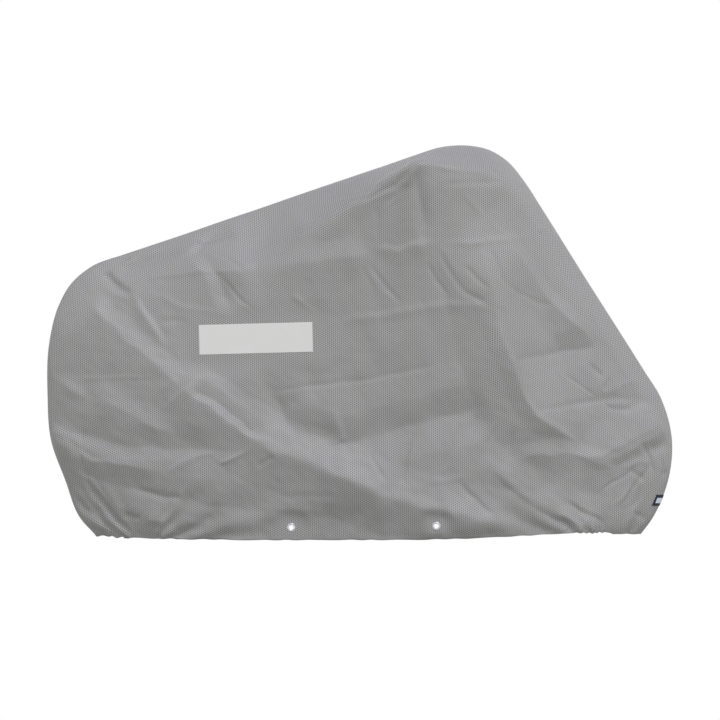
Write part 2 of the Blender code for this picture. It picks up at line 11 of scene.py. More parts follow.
import bpy
import numpy as np
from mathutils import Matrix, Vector


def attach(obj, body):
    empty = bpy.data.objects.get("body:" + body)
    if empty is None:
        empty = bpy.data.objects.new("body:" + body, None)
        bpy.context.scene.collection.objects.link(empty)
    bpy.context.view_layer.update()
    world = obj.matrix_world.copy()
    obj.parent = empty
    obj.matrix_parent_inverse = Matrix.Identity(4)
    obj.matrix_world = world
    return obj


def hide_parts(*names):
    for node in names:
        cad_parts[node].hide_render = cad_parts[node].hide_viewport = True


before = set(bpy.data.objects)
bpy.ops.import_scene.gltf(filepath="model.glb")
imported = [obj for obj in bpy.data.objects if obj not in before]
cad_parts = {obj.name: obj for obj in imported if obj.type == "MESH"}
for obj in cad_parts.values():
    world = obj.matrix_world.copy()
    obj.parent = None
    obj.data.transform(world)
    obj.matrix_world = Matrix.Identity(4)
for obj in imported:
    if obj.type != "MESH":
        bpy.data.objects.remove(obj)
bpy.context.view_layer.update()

MM = 0.001
REST = (-287.0, 0.0, -1230.0)  # from the tables' origin to the world's

SEAM_FADE = 32.0  # main folds die out this far from the seam
CREASE_FADE = 22.0  # and fine creases this far
FOLD_TIP, CREASE_TIP = 0.06, 0.11  # roundness of a crest, as a share of its width
FOLD_TOE = 1.25  # how softly a fold's flanks run out
CREASE_SHARE = 0.85  # of the heights in the tables of creases
# Height and length of the waves by which folds and creases stray from their paths, and of the cloth's own
FOLD_STRAY = ((2.8, 110.0), (0.8, 42.0))
CREASE_STRAY = ((2.0, 110.0), (0.5, 42.0))
UNEVEN = ((1.6, 190.0), (0.8, 75.0), (0.25, 27.0))
RIPPLE_WAVES = 9
RIPPLE_SHORT, RIPPLE_LONG = 0.7, 1.5  # the waves' lengths, as shares of their ripple's
ROOF_CROWD = 1.4  # how much the roof's rows crowd towards the seam

HEM_TURN = 12.0  # cloth turned up inside the hem
# Rows of cloth turned in at a cut edge: how deep each is, and how far back from the edge
EDGE_TURN = ((0.5, -0.3), (1.2, -0.1), (1.7, 1.5), (1.7, HEM_TURN / 2), (1.5, HEM_TURN))
SEAM_TURN = ((9.0, 1.0), (3.6, 0.4))  # rows turned in at the seam: how deep, and how far from the centre line
SEAM_OPEN = 0.15  # half of the seam's groove
RIM_CLEAR = 50.0  # the height that the cloth turned in at the seam counts as: well above the hem
STITCH_LENGTH, STITCH_PITCH, STITCH_RADIUS, STITCH_SIDES = 3.4, 5.0, 0.35, 6
STITCH_SHAPE = ((0.0, 0.25), (0.18, 1.0), (0.82, 1.0), (1.0, 0.25))  # share of its length, and of its radius
STITCH_DROP = 1.5  # from the turned-up cloth's edge
STITCH_END = 4.0  # and from the hem's ends
STITCH_RISE = 0.12  # of its middle, above the cloth

EYELET_HOLE, EYELET_BARREL, EYELET_FLANGE, EYELET_STEPS = 7.0, 8.0, 12.0, 64
EYELET_FLAT, EYELET_BLEND = 13.0, 42.0  # half of the flat cloth at it, and the way back to the folds
EYELET_CUT = (EYELET_BARREL + EYELET_HOLE) / 2 + 0.8  # radius of the hole in the cloth
EYELET_CUT_LOW = 20.0  # cloth less high than this above the hem isn't cut
EYELET_SEAT, EYELET_ROLL, EYELET_ROLL_STEPS = 0.1, 1.25, 12  # the rolled flange over the cloth
EYELET_CROWN = 0.8  # how flat it is on top
# Radius and height above the cloth: the bore, and the flange's underside with the washer inside
EYELET_BORE = ((EYELET_HOLE, -3.0), (EYELET_HOLE - 0.05, -1.4), (EYELET_HOLE, 0.0))
EYELET_UNDER = ((EYELET_FLANGE - 0.2, -0.05), (EYELET_BARREL + 0.4, -0.05), (EYELET_BARREL, -2.2),
                (EYELET_FLANGE - 0.9, -2.2), (EYELET_FLANGE - 0.5, -2.5), (EYELET_FLANGE - 0.9, -3.0),
                (EYELET_HOLE + 0.5, -3.2))

PATCH_LENGTH, PATCH_HEIGHT, PATCH_THICK, PATCH_SEAT = 331.0, 86.0, 1.0, 0.1
PATCH_X, PATCH_Z, PATCH_HALF_WIDTH = -318.0, 676.0, 159.0
PATCH_TILT = math.radians(1.5)
PATCH_TURN, PATCH_LEAN = 0.156, -0.038  # how its half width grows forward, and upward
PATCH_FLAT, PATCH_BLEND = 12.0, 60.0  # flat cloth around it, and the way back to the folds
PATCH_CELL = 5.0

LABEL_LOW, LABEL_HIGH, LABEL_REACH, LABEL_THICK, LABEL_SEAT = 194.0, 226.0, 36.0, 0.9, 0.15
LABEL_X, LABEL_Z = 847.27, (LABEL_LOW + LABEL_HIGH) / 2  # its middle, on the seam
LABEL_CALM = 34.0  # no creases this close to its middle
LABEL_STOPS, LABEL_INNER, LABEL_CELL = 40, 1.5, 2.0  # points across it and up it
# The level rows under it: the sections at the seam's lower end, points back from it and how far they go
LABEL_SECTIONS, LABEL_TRIES, LABEL_GRID, LABEL_BACK = 6, 400, 61, 90.0
LABEL_ENDS, LABEL_FOOT, LABEL_HEAD, LABEL_BLUR = 7.0, 7.5, 8.5, 1.0  # its dark border

EDGE_STOPS = (0.0, 0.1, 0.35, 0.8)  # points close to a sheet's edge, which is round over the last of them
EDGE_INNER = 2.0  # where its even points begin

# A section runs from its top on the seam to its foot on the hem. Its row: name, top x and z, foot x, shoulder
# (where the roof turns into the wall, as a share of the section), half widths at the shoulder, the belly and
# the hem, roundness of the seam, and sharpness of the shoulder.
SECTIONS = (
    ("rear hem", -777, 107, -692, 0.50, 45, 58, 66, 1.0, 4),
    ("rear pleats", -824, 159, -669, 0.45, 56, 70, 76, 1.0, 4),
    ("rear low", -867, 268, -634, 0.38, 62, 84, 90, 1.0, 4),
    ("rear pinch", -908, 383, -600, 0.32, 66, 100, 104, 1.0, 4),
    ("rear full", -918, 513, -562, 0.28, 70, 114, 120, 1.0, 4),
    ("rear high", -914, 657, -519, 0.25, 76, 124, 130, 1.0, 4),
    ("rear notch", -889, 763, -484, 0.22, 80, 132, 138, 0.8, 4),
    ("rear round", -853, 830, -453, 0.20, 82, 138, 144, 0.7, 4),
    ("rear crown", -790, 884, -415, 0.17, 84, 144, 150, 0.6, 4),
    ("carrier", -698, 918, -369, 0.14, 86, 150, 156, 0.4, 5),
    ("carrier end", -623, 943, -332, 0.11, 86, 155, 158, 0.3, 6),
    ("saddle back", -507, 982, -277, 0.07, 100, 160, 161, 0.3, 6),
    ("saddle rear", -407, 1017, -225, 0.12, 134, 168, 165, 0.25, 8),
    ("saddle middle", -320, 1046, -179, 0.175, 146, 175, 167, 0.2, 9),
    ("saddle nose", -191, 1091, -110, 0.12, 170, 186, 171, 0.15, 12),
    ("slope middle", -47, 1140, -32, 0.068, 212, 197, 176, 0.15, 14),
    ("slope top", 83, 1184, 43, 0.026, 264, 204, 180, 0.15, 14),
    ("grip", 146, 1206, 83, 0.018, 292, 207, 181, 0.2, 14),
    ("cap rise", 215, 1227, 138, 0.04, 272, 207, 181, 0.3, 12),
    ("cap top", 287, 1232, 190, 0.057, 250, 203, 179, 0.4, 10),
    ("cap front", 351, 1220, 238, 0.053, 205, 197, 176, 0.5, 8),
    ("cap fall", 408, 1185, 290, 0.05, 175, 186, 169, 0.5, 7),
    ("stem", 457, 1126, 339, 0.06, 146, 170, 161, 0.5, 6),
    ("stem low", 501, 1058, 380, 0.075, 122, 156, 152, 0.5, 6),
    ("front slope", 630, 852, 463, 0.1, 98, 130, 137, 0.5, 6),
    ("front low", 766, 638, 558, 0.13, 62, 98, 115, 0.6, 5),
    ("nose top", 803, 579, 581, 0.14, 56, 90, 110, 0.8, 4),
    ("nose high", 846, 510, 610, 0.16, 50, 80, 100, 1.0, 4),
    ("nose full", 881, 375, 650, 0.22, 45, 66, 82, 1.0, 4),
    ("nose low", 863, 245, 682, 0.30, 44, 58, 70, 1.0, 4),
    ("nose turn", 823, 156, 699, 0.40, 42, 52, 62, 1.0, 4),
    ("front hem", 791, 113, 711, 0.50, 38, 48, 56, 1.0, 4),
)

# The hem's height above the ground: x, z
HEM = ((-777, 107), (-677, 101), (-525, 97), (-366, 95), (135, 96), (273, 99), (342, 102),
       (483, 110), (622, 118), (694, 119), (748, 111), (791, 113))

Fold = namedtuple("Fold", "name height above below path start end", defaults=(0.3, 0.3))


def fold_rows(*rows):
    """A fold stands out by its height, or sinks in if that is negative. above is its width to the left of its
    path, which is above a path that runs forward, and below its width to the right. start and end are the
    shares of its length in which it rises from the cloth and runs out into it.
    """
    return tuple(Fold(*row) for row in rows)
RIGHT_FOLDS = fold_rows(
    ("grip streak", -6, 30, 22, ((143, 1181), (141, 1135), (152, 1075), (166, 994), (178, 896))),
    ("valley above the grip ridge", -17, 40, 20, ((-202, 1011), (-127, 1040), (-61, 1066), (-1, 1106),
        (51, 1144)), 0.25, 0.3),
    ("grip ridge", 6, 22, 56, ((-300, 896), (-234, 936), (-147, 994), (-61, 1051), (5, 1095), (97, 1167),
        (132, 1190))),
    ("crease under the saddle", 15, 56, 170, ((-594, 867), (-502, 873), (-392, 873), (-286, 879), (-165, 896),
        (-52, 910), (-6, 919), (31, 936)), 0.3, 0.15),
    ("bar ridge", 38, 150, 122, ((305, 1060), (328, 931), (357, 787), (385, 671), (403, 608), (429, 542),
        (452, 499), (475, 455), (515, 429), (573, 401), (633, 363)), 0.3, 0.2),
    ("front slope ridge", 5, 24, 26, ((529, 936), (570, 850), (633, 755), (679, 691), (745, 579),
        (789, 504))),
    ("front slope edge", 13, 32, 66, ((380, 994), (443, 890), (515, 795), (587, 723), (668, 663)), 0.2, 0.2),
    ("lower front slope edge", 3, 40, 50, ((558, 792), (616, 735), (679, 660))),
    ("crease below the middle", -3, 80, 60, ((-271, 533), (-159, 539), (-38, 553), (60, 576), (227, 611),
        (299, 622))),
    ("crease before the front slope", -7, 60, 60, ((408, 605), (501, 622), (587, 640),
        (662, 654)), 0.15, 0.15),
    ("crease over the hem", -16, 75, 90, ((-300, 568), (-263, 510), (-237, 444), (-196, 409), (-52, 372),
        (48, 401), (146, 429), (287, 464), (357, 487)), 0.15, 0.1),
    ("crease to the front", -4.5, 40, 50, ((501, 467), (558, 484), (673, 504), (789, 499),
        (858, 484)), 0.4, 0.15),
    ("crease at the rear", -2.5, 36, 44, ((-911, 568), (-738, 565), (-574, 562), (-479, 559)), 0.08, 0.2),
    ("saddle valley", -17, 130, 36, ((-507, 951), (-464, 907), (-427, 859), (-395, 772),
        (-375, 723)), 0.1, 0.35),
    ("valley behind the saddle", -8, 26, 26, ((-721, 864), (-623, 899), (-536, 933))),
    ("rear valley edge", 8, 60, 30, ((-715, 830), (-669, 795), (-634, 738), (-594, 683),
        (-559, 637)), 0.1, 0.4),
    ("rear ridge", 17, 50, 120, ((-818, 789), (-767, 746), (-680, 663), (-571, 568), (-533, 527)), 0.15, 0.1),
    ("rear swell", 8, 50, 50, ((-790, 524), (-680, 455), (-530, 386))),
    ("rear pinch", -8, 66, 34, ((-911, 438), (-818, 395), (-680, 363), (-565, 357), (-435, 357),
        (-300, 349)), 0.08, 0.3),
    ("rear band", 10, 40, 56, ((-905, 424), (-844, 363), (-790, 331), (-680, 308), (-536, 280)), 0.08, 0.4),
    ("great ridge", 23, 95, 110, ((-559, 553), (-490, 501), (-421, 447), (-363, 409), (-300, 369),
        (-191, 329), (-75, 283), (40, 228), (155, 190), (270, 164), (385, 147), (558, 133)), 0.04, 0.2),
    ("front swell of the great ridge", 10, 190, 120, ((-162, 320), (-61, 274), (40, 228),
        (112, 199)), 0.3, 0.45),
    ("groove on the great ridge", -10, 38, 16, ((-502, 533), (-435, 490), (-363, 438),
        (-294, 380)), 0.12, 0.2),
    ("great valley", -7.5, 70, 56, ((-882, 297), (-784, 274), (-680, 245), (-545, 213), (-441, 196),
        (-291, 179), (-133, 159), (-41, 147)), 0.3, 0.4),
    ("belly dart", 5, 16, 45, ((-98, 490), (-81, 435), (-64, 375)), 0.5, 0.1),
    ("front pocket lip", 15, 95, 58, ((345, 346), (368, 308), (394, 274), (431, 236), (478, 205), (535, 176),
        (601, 147), (679, 121)), 0.22, 0.1),
    ("front pocket", -5, 20, 40, ((351, 320), (391, 257), (454, 205), (547, 153), (616, 124))),
    ("front wedge", 12, 40, 92, ((400, 317), (486, 343), (558, 349), (630, 329), (731, 297)), 0.25, 0.15),
    ("nose fold", 14, 95, 36, ((593, 340), (673, 337), (745, 360), (817, 395), (869, 429)), 0.25, 0.12),
    ("nose crease", -1.5, 14, 16, ((691, 475), (745, 473), (800, 490), (840, 478))),
    ("draw of the hem", -10, 80, 30, ((-600, 98), (-366, 95), (135, 96), (342, 102), (560, 114)), 0.12, 0.12),
)

LEFT_FOLDS = fold_rows(
    ("grip streak", -8, 26, 22, ((150, 1165), (150, 1110), (165, 1030), (190, 900))),
    ("valley above the grip ridge", -10, 40, 26, ((-160, 1030), (-40, 1070), (90, 1165))),
    ("bar ridge", 12, 80, 110, ((250, 960), (300, 780), (350, 600), (430, 470))),
    ("end of the bar ridge", 9, 50, 40, ((410, 500), (470, 430), (560, 360), (650, 320))),
    ("front slope ridge", 9, 34, 36, ((500, 960), (590, 790), (700, 610), (790, 480))),
    ("crease below the middle", -5, 70, 60, ((-560, 560), (-200, 560), (150, 590), (450, 600), (700, 630))),
    ("crease under the saddle", 8, 36, 110, ((-650, 860), (-300, 885), (60, 930), (300, 950))),
    ("crease over the hem", -11, 70, 64, ((-230, 520), (-150, 420), (60, 400), (300, 440), (420, 480))),
    ("saddle valley", -11, 50, 50, ((-480, 940), (-450, 860), (-380, 750), (-320, 640))),
    ("rear valley edge", 9, 56, 34, ((-760, 840), (-680, 740), (-600, 620), (-500, 520))),
    ("rear ridge", 12, 56, 60, ((-850, 690), (-740, 580), (-600, 470), (-440, 380))),
    ("rear pinch", -10, 50, 36, ((-900, 400), (-760, 360), (-560, 330), (-300, 330))),
    ("great ridge", 22, 90, 80, ((-460, 460), (-240, 330), (-40, 270), (200, 210), (480, 150))),
    ("great valley", -16, 60, 56, ((-860, 270), (-600, 230), (-280, 190), (60, 160), (440, 135))),
    ("front pocket lip", 11, 44, 36, ((300, 400), (420, 290), (540, 200), (640, 150))),
    ("nose fold", 8, 34, 34, ((640, 360), (740, 390), (860, 420))),
    ("draw of the hem", -5, 80, 30, ((-600, 98), (-366, 95), (135, 96), (342, 102), (560, 114)), 0.12, 0.12),
)

RIGHT_CREASES = fold_rows(
    ("under the rim", -3.5, 9, 9, ((204, 1116), (273, 1121), (345, 1126), (394, 1129), (423, 1128))),
    ("second under the rim", 3.5, 10, 12, ((213, 948), (273, 951), (345, 956), (426, 961), (473, 969),
        (518, 968))),
    ("end of the saddle crease", 5, 14, 36, ((11, 928), (31, 936), (48, 933), (92, 925), (126, 945),
        (213, 951))),
    ("bright slant under the cap", 2.5, 8, 10, ((273, 1098), (336, 1028))),
    ("lower bright slant", 2, 8, 10, ((365, 1000), (417, 962))),
    ("first slant under the bar", -4.2, 9, 10, ((172, 902), (201, 841), (247, 792)), 0.25, 0.3),
    ("second slant under the bar", -4.4, 10, 11, ((207, 936), (238, 873), (279, 815), (334, 775),
        (391, 752)), 0.2, 0.35),
    ("third slant under the bar", -4.2, 9, 10, ((273, 896), (310, 844), (357, 812)), 0.25, 0.3),
    ("fourth slant under the bar", -4, 9, 10, ((351, 942), (374, 884), (394, 821)), 0.25, 0.3),
    ("hook before the slope", -3, 10, 11, ((394, 835), (434, 807), (486, 781), (558, 766)), 0.2, 0.3),
    ("long slant", -4.4, 10, 10, ((-6, 907), (40, 847), (109, 763))),
    ("slant beside it", -2.5, 8, 8, ((-21, 890), (31, 810))),
    ("thin line on the belly", -2.5, 7, 8, ((8, 352), (60, 257))),
    ("first upright", -5, 10, 9, ((100, 239), (115, 323), (126, 372), (149, 427))),
    ("second upright", -4.5, 10, 12, ((207, 277), (227, 317), (253, 383), (282, 444))),
    ("rear arc", 3, 8, 10, ((-579, 285), (-542, 317), (-490, 340), (-421, 349))),
    ("short rear arc", 2.5, 7, 9, ((-430, 311), (-340, 352))),
    ("under the cap rim", -6.5, 21, 36, ((178, 1167), (241, 1155), (328, 1141), (385, 1123))),
    ("light streak at the grip", 5.2, 15, 15, ((109, 1109), (123, 1132), (141, 1178))),
    ("behind the grip", 2.6, 12, 15, ((-12, 1075), (80, 1098), (109, 1109))),
    ("arc behind the grip", 2.6, 10, 10, ((46, 1028), (63, 1057), (109, 1092))),
    ("short upright behind the grip", -2.6, 10, 10, ((28, 1063), (34, 954))),
    ("dip behind the saddle", -12, 30, 9, ((-496, 965), (-456, 968), (-415, 971), (-369, 968)), 0.15, 0.3),
    ("dip at the carrier", -12, 18, 8, ((-744, 896), (-721, 905), (-698, 905), (-674, 910)), 0.2, 0.2),
    ("on the rear panel", 3.2, 12, 15, ((-640, 815), (-536, 769), (-421, 746), (-375, 735))),
    ("beside the patch", -3.9, 15, 15, ((-611, 729), (-542, 729), (-490, 717))),
    ("wedge at the rear", 5.2, 21, 21, ((-893, 562), (-847, 527), (-801, 499))),
    ("line under the rear pinch", -5.2, 12, 15, ((-899, 406), (-853, 372), (-813, 337))),
    ("fine middle crease", 3.2, 15, 21, ((-156, 720), (-18, 732), (109, 752), (241, 775), (443, 769))),
    ("slant over the patch", 3.6, 9, 11, ((-219, 810), (-170, 766), (-116, 726)), 0.2, 0.2),
    ("slant before the patch", 2.6, 10, 12, ((-363, 787), (-306, 729))),
    ("fine line on the slope", -2, 10, 10, ((-312, 1034), (-228, 1037))),
    ("fine line at the flank", 2, 10, 10, ((-289, 956), (-199, 968))),
    ("upper knuckle", 5.2, 18, 18, ((489, 982), (524, 994))),
    ("rim knuckle", 3.9, 15, 15, ((426, 1126), (457, 1135))),
    ("pinch at the front wheel", -5.2, 12, 15, ((639, 608), (685, 562))),
    ("short pinch at the front wheel", -3.9, 10, 12, ((679, 527), (708, 562))),
    ("nose pocket", -6.5, 21, 21, ((806, 346), (846, 363), (875, 383))),
    ("nose wrinkle 1", -3.9, 12, 12, ((754, 297), (812, 268))),
    ("nose wrinkle 2", -3.9, 10, 12, ((789, 239), (823, 213), (849, 179))),
    ("nose wrinkle 3", 3.9, 12, 12, ((714, 187), (742, 222), (771, 259))),
    ("nose wrinkle 4", -3.9, 10, 10, ((832, 297), (872, 283))),
    ("nose wrinkle 5", -3.9, 10, 12, ((760, 179), (812, 156))),
    ("nose wrinkle 6", 3.2, 10, 10, ((725, 297), (789, 320), (835, 314))),
    ("lip of the great ridge", 2.6, 12, 15, ((166, 262), (236, 265), (293, 285))),
    ("faint line over the strip", -2, 15, 15, ((-277, 216), (-75, 225))),
    ("third upright", -3.2, 10, 10, ((299, 406), (322, 458))),
    ("fourth upright", -3.2, 10, 10, ((345, 360), (380, 435))),
    ("fifth upright", -3.2, 10, 10, ((403, 343), (423, 418))),
    ("before the pocket", -5.9, 12, 15, ((259, 274), (296, 228), (336, 190), (377, 167))),
    ("at the front hem", -5.9, 12, 15, ((570, 216), (607, 179), (653, 164), (694, 136))),
    ("light line over the rear hem", 3.2, 12, 15, ((-582, 280), (-502, 331), (-433, 349))),
    ("second light line", 3.2, 10, 12, ((-438, 308), (-329, 360))),
    ("dark line beside it", -3.9, 12, 12, ((-317, 303), (-260, 343))),
    ("rear gather 1", -4.6, 15, 18, ((-842, 274), (-807, 211), (-755, 147))),
    ("rear gather 2", -4.2, 12, 15, ((-795, 251), (-761, 205), (-709, 153))),
    ("rear gather 3", -3.8, 12, 12, ((-842, 222), (-795, 164))),
    ("rear gather crest", 3.8, 12, 15, ((-865, 303), (-795, 268), (-749, 199), (-692, 147))),
    ("star wrinkle 1", -3.2, 15, 18, ((-692, 245), (-548, 216), (-513, 187))),
    ("star wrinkle 2", -3.9, 12, 15, ((-709, 176), (-646, 153))),
    ("star knuckle", 5.2, 26, 21, ((-640, 153), (-571, 150))),
    ("pinch of the rear valley", -15, 16, 16, ((-752, 867), (-732, 841), (-698, 815), (-669, 795)), 0.1),
    ("rear valley line", -7, 34, 12, ((-674, 815), (-634, 758), (-594, 700), (-559, 648)), 0.3, 0.35),
    ("line at the rear", 2.6, 7, 9, ((-905, 565), (-795, 562), (-680, 565), (-571, 565))),
    ("line behind the saddle", -4.5, 20, 8, ((-721, 870), (-623, 902), (-525, 933)), 0.2, 0.2),
    ("line under the carrier", 2.8, 10, 10, ((-686, 841), (-594, 856), (-479, 867), (-335, 870)), 0.15, 0.3),
    ("edge of the light wedge", -3.5, 8, 9, ((-444, 931), (-398, 907), (-346, 867)), 0.2, 0.3),
    ("slant below the saddle", -4, 8, 9, ((-415, 856), (-363, 789), (-300, 729)), 0.2, 0.25),
    ("edge under the grip", -4.5, 34, 10, ((146, 1172), (149, 1118), (161, 1046), (175, 954)), 0.12, 0.4),
    ("line beside the front slope", -4, 8, 9, ((532, 948), (564, 879), (604, 807), (650, 723),
        (685, 671)), 0.25, 0.25),
    ("line to the front", -3.6, 16, 8, ((472, 461), (558, 478), (673, 496), (789, 510)), 0.12, 0.25),
    ("line before the front slope", -2.6, 14, 8, ((400, 605), (515, 628), (668, 654)), 0.15, 0.2),
    ("line below the middle", -2.6, 14, 7, ((-266, 527), (-47, 550), (97, 573), (247, 608)), 0.1, 0.2),
    ("nose wrinkle 7", -4.4, 9, 10, ((789, 383), (817, 331), (832, 274))),
    ("nose wrinkle 8", -4.4, 9, 10, ((737, 196), (766, 245), (803, 285), (823, 320))),
    ("nose wrinkle 9", -4, 8, 9, ((673, 234), (708, 262), (754, 285), (789, 320))),
    ("nose wrinkle 10", -3.8, 9, 9, ((838, 349), (855, 303), (849, 251))),
    ("nose wrinkle 11", -4.2, 9, 9, ((754, 176), (777, 211), (791, 251))),
    ("lens before the front wheel", -3.2, 8, 8, ((679, 493), (708, 475), (760, 475), (789, 493)), 0.2, 0.2),
    ("crest over the lens", 3.2, 10, 9, ((676, 507), (725, 533), (789, 565))),
    ("slant before the front wheel", -3.2, 8, 8, ((552, 585), (598, 553), (645, 522), (673, 501))),
    ("long nose line", -4.2, 12, 8, ((673, 331), (737, 355), (789, 383), (832, 406), (869, 429)), 0.15, 0.15),
    ("edge of the rear band", -3.4, 14, 8, ((-876, 406), (-836, 366), (-790, 337), (-732, 320)), 0.15, 0.3),
    ("line from the grip", -6, 12, 9, ((-127, 1046), (-47, 1077), (40, 1138), (120, 1187)), 0.2, 0.12),
    ("second line from the grip", -4, 9, 9, ((-61, 1063), (17, 1086), (80, 1115), (129, 1167)), 0.25, 0.15),
    ("edge of the bar ridge", 9, 14, 42, ((351, 787), (382, 677), (414, 596), (452, 499), (480, 452),
        (558, 409), (627, 366)), 0.25, 0.15),
)

LEFT_CREASES = fold_rows(
    ("under the cap rim", -4, 14, 24, ((170, 1160), (260, 1150), (380, 1120))),
    ("behind the grip", 2.5, 8, 10, ((-20, 1070), (70, 1095), (110, 1105))),
    ("dip behind the saddle", -5, 10, 12, ((-500, 965), (-400, 975))),
    ("long slant", -4, 8, 10, ((-60, 930), (10, 850), (80, 740))),
    ("short slant", -3, 8, 8, ((-120, 880), (-60, 790))),
    ("slant under the grip", -3, 8, 9, ((190, 880), (250, 780), (290, 690))),
    ("hook before the slope", -3, 8, 8, ((390, 850), (450, 800), (530, 780))),
    ("on the rear panel", 3, 9, 10, ((-700, 800), (-560, 780), (-400, 730))),
    ("second on the rear panel", -3, 9, 10, ((-840, 640), (-700, 620), (-560, 570))),
    ("middle slant", 3, 10, 12, ((-180, 700), (0, 690), (200, 720))),
    ("groove on the great ridge", -6, 12, 14, ((-400, 440), (-300, 380), (-180, 330))),
    ("first upright", -3, 8, 8, ((60, 250), (90, 340), (130, 430))),
    ("second upright", -2.5, 8, 8, ((230, 330), (270, 430))),
    ("before the pocket", -4, 9, 10, ((240, 280), (300, 220), (370, 170))),
    ("rear gather 1", -5, 10, 12, ((-840, 270), (-800, 210), (-750, 150))),
    ("rear gather 2", -4, 9, 10, ((-780, 250), (-740, 200), (-690, 150))),
    ("star wrinkle", -3.5, 10, 12, ((-680, 240), (-540, 210), (-500, 180))),
    ("nose wrinkle 1", -3, 8, 8, ((740, 300), (810, 260))),
    ("nose wrinkle 2", 3, 8, 8, ((700, 180), (740, 230), (770, 260))),
    ("at the front hem", -4, 8, 10, ((560, 220), (610, 170), (680, 140))),
)

Pleats = namedtuple("Pleats", "name x z reach count height")
# Pleats fan out from the drawn-in hem around each wheel: x, z is the point they run to.
PLEATS = (
    Pleats("rear", -640.0, 60.0, 230.0, 11, 3.5),
    Pleats("front", 690.0, 40.0, 220.0, 10, 3.5),
)
PLEAT_LOW = 95.0  # height above the ground from which pleats run out
PLEAT_INNER, PLEAT_SPREAD = 20.0, 60.0  # none this close to the fan's middle, and over this far they grow
PLEAT_SWAY = 5.0  # how often their spacing changes round the fan

Gather = namedtuple("Gather", "name low_x high_x pitch height")
# Small scallops along the edge of the hem, where its elastic draws it in, and a slight wave all along it
GATHERS = (
    Gather("rear end", -805.0, -670.0, 31.0, 1.6),
    Gather("front end", 585.0, 700.0, 17.0, 1.5),
    Gather("whole hem", -760.0, 760.0, 83.0, 0.8),
)
GATHER_GROW = 25.0  # over this length from either end
GATHER_HIGH, GATHER_SEAM = 30.0, 15.0  # they die out this far above the hem, and this close to the seam
GATHER_SWAY, GATHER_SWAY_LENGTH = 1.5, 37.0

Eyelet = namedtuple("Eyelet", "name x z right_half left_half")
EYELETS = (
    Eyelet("rear", -216.0, 132.0, 156.0, 162.0),
    Eyelet("front", 202.0, 136.0, 190.0, 172.0),
)

Side = namedtuple("Side", "name sign folds creases columns roof_rows wall_rows seed")
SIDES = (
    Side("right", -1, RIGHT_FOLDS, RIGHT_CREASES, 466, 24, 172, 11),
    Side("left", 1, LEFT_FOLDS, LEFT_CREASES, 330, 18, 120, 47),
)

DOT_PITCH = 6.4  # between a dot and any dot next to it
DOT_RADIUS, DOT_BLUR = 2.5, 0.4
NET_COLOUR = (0.44, 0.44, 0.436)
DOT_COLOUR = (0.19, 0.19, 0.153)
HEM_SHADE = 0.55  # the hem's plain tone, between that of the net and that of the dots
HEM_LINE = (HEM_TURN - 1.0, HEM_TURN + 0.5)  # where it ends and the dots begin
PATCH_COLOUR = (0.66, 0.665, 0.61)

METAL_COLOURS = (0.80, 0.80, 0.81), (0.62, 0.62, 0.64)
LABEL_DARK = (0.006, 0.011, 0.024), (0.012, 0.022, 0.045)
LABEL_PALE = (0.52, 0.60, 0.62), (0.66, 0.74, 0.75)
THREAD_COLOURS = (0.30, 0.30, 0.30), (0.42, 0.42, 0.42)
FLOOR_COLOURS = (0.52, 0.52, 0.48), (0.48, 0.48, 0.45)
FLOOR_HALF, FLOOR_CELLS = 7000.0, 28

# Metres, in the world's frame
VIEW_WIDTH = 2.0736
CAMERA_PLACE = (-0.305, -6.0, -0.616)
Light = namedtuple("Light", "name place aim size power colour")
LIGHTS = (
    Light("key", (4.8, -10.2, 13.3), (-0.3, 0.0, -0.6), 3.2, 1880.0, (0.89, 0.89, 1.0)),
    Light("rear", (-3.4, -1.6, 1.4), (-1.0, 0.0, -0.6), 1.4, 12.0, (0.96, 0.96, 1.0)),
    Light("front", (3.0, -1.4, -0.75), (0.5, 0.0, -0.8), 1.0, 5.0, (0.96, 0.96, 1.0)),
)
WHITE = (1.0, 1.0, 1.0)
# Place from straight down to straight up, and colour: white level with the object, softer above and below it
SKY = ((0.2, (0.38, 0.37, 0.24)), (0.46, WHITE), (0.54, WHITE), (0.85, (0.445, 0.44, 0.53)))

# ---- the cloth's form ----

def ease(share):
    """0 to 1 with no kink at either end."""
    held = np.clip(share, 0.0, 1.0)
    return held * held * (3.0 - 2.0 * held)


def smooth_rows(knots, rows, places):
    """The table's rows at any places between its knots, on one smooth curve."""
    slopes = np.gradient(rows, knots, axis=0)
    low = np.clip(np.searchsorted(knots, places, side="right") - 1, 0, len(knots) - 2)
    span = (knots[low + 1] - knots[low])[:, None]
    share = (places - knots[low])[:, None] / span
    rise = share * share * (3.0 - 2.0 * share)
    leave = share * (1.0 - share) ** 2
    arrive = share * share * (share - 1.0)
    ends = rows[low] * (1.0 - rise) + rows[low + 1] * rise
    return ends + span * (leave * slopes[low] + arrive * slopes[low + 1])


def section_knots():
    """A place for each section: half way between the lengths run along the seam and along the hem."""
    rows = np.array([section[1:] for section in SECTIONS], float)
    seam_runs = np.hypot(np.diff(rows[:, 0]), np.diff(rows[:, 1]))
    hem_runs = np.abs(np.diff(rows[:, 2]))
    return np.concatenate(([0.0], np.cumsum((seam_runs + hem_runs) / 2))), rows


def half_width(share, shoulder, shoulder_half, belly_half, hem_half, roundness, edge):
    """Distance from the centre line at a share of a section: a round roof that turns into a slack wall."""
    out = share / shoulder
    roof = shoulder_half * np.sqrt((out * out + 2.0 * roundness * out) / (1.0 + 2.0 * roundness))
    down = np.clip((share - shoulder) / (1.0 - shoulder), 0.0, 1.0)
    swell = belly_half - (shoulder_half + hem_half) / 2
    wall = shoulder_half * (1.0 - down) + hem_half * down + 4.0 * swell * down * (1.0 - down)
    return roof * wall / (roof ** edge + wall ** edge) ** (1.0 / edge)


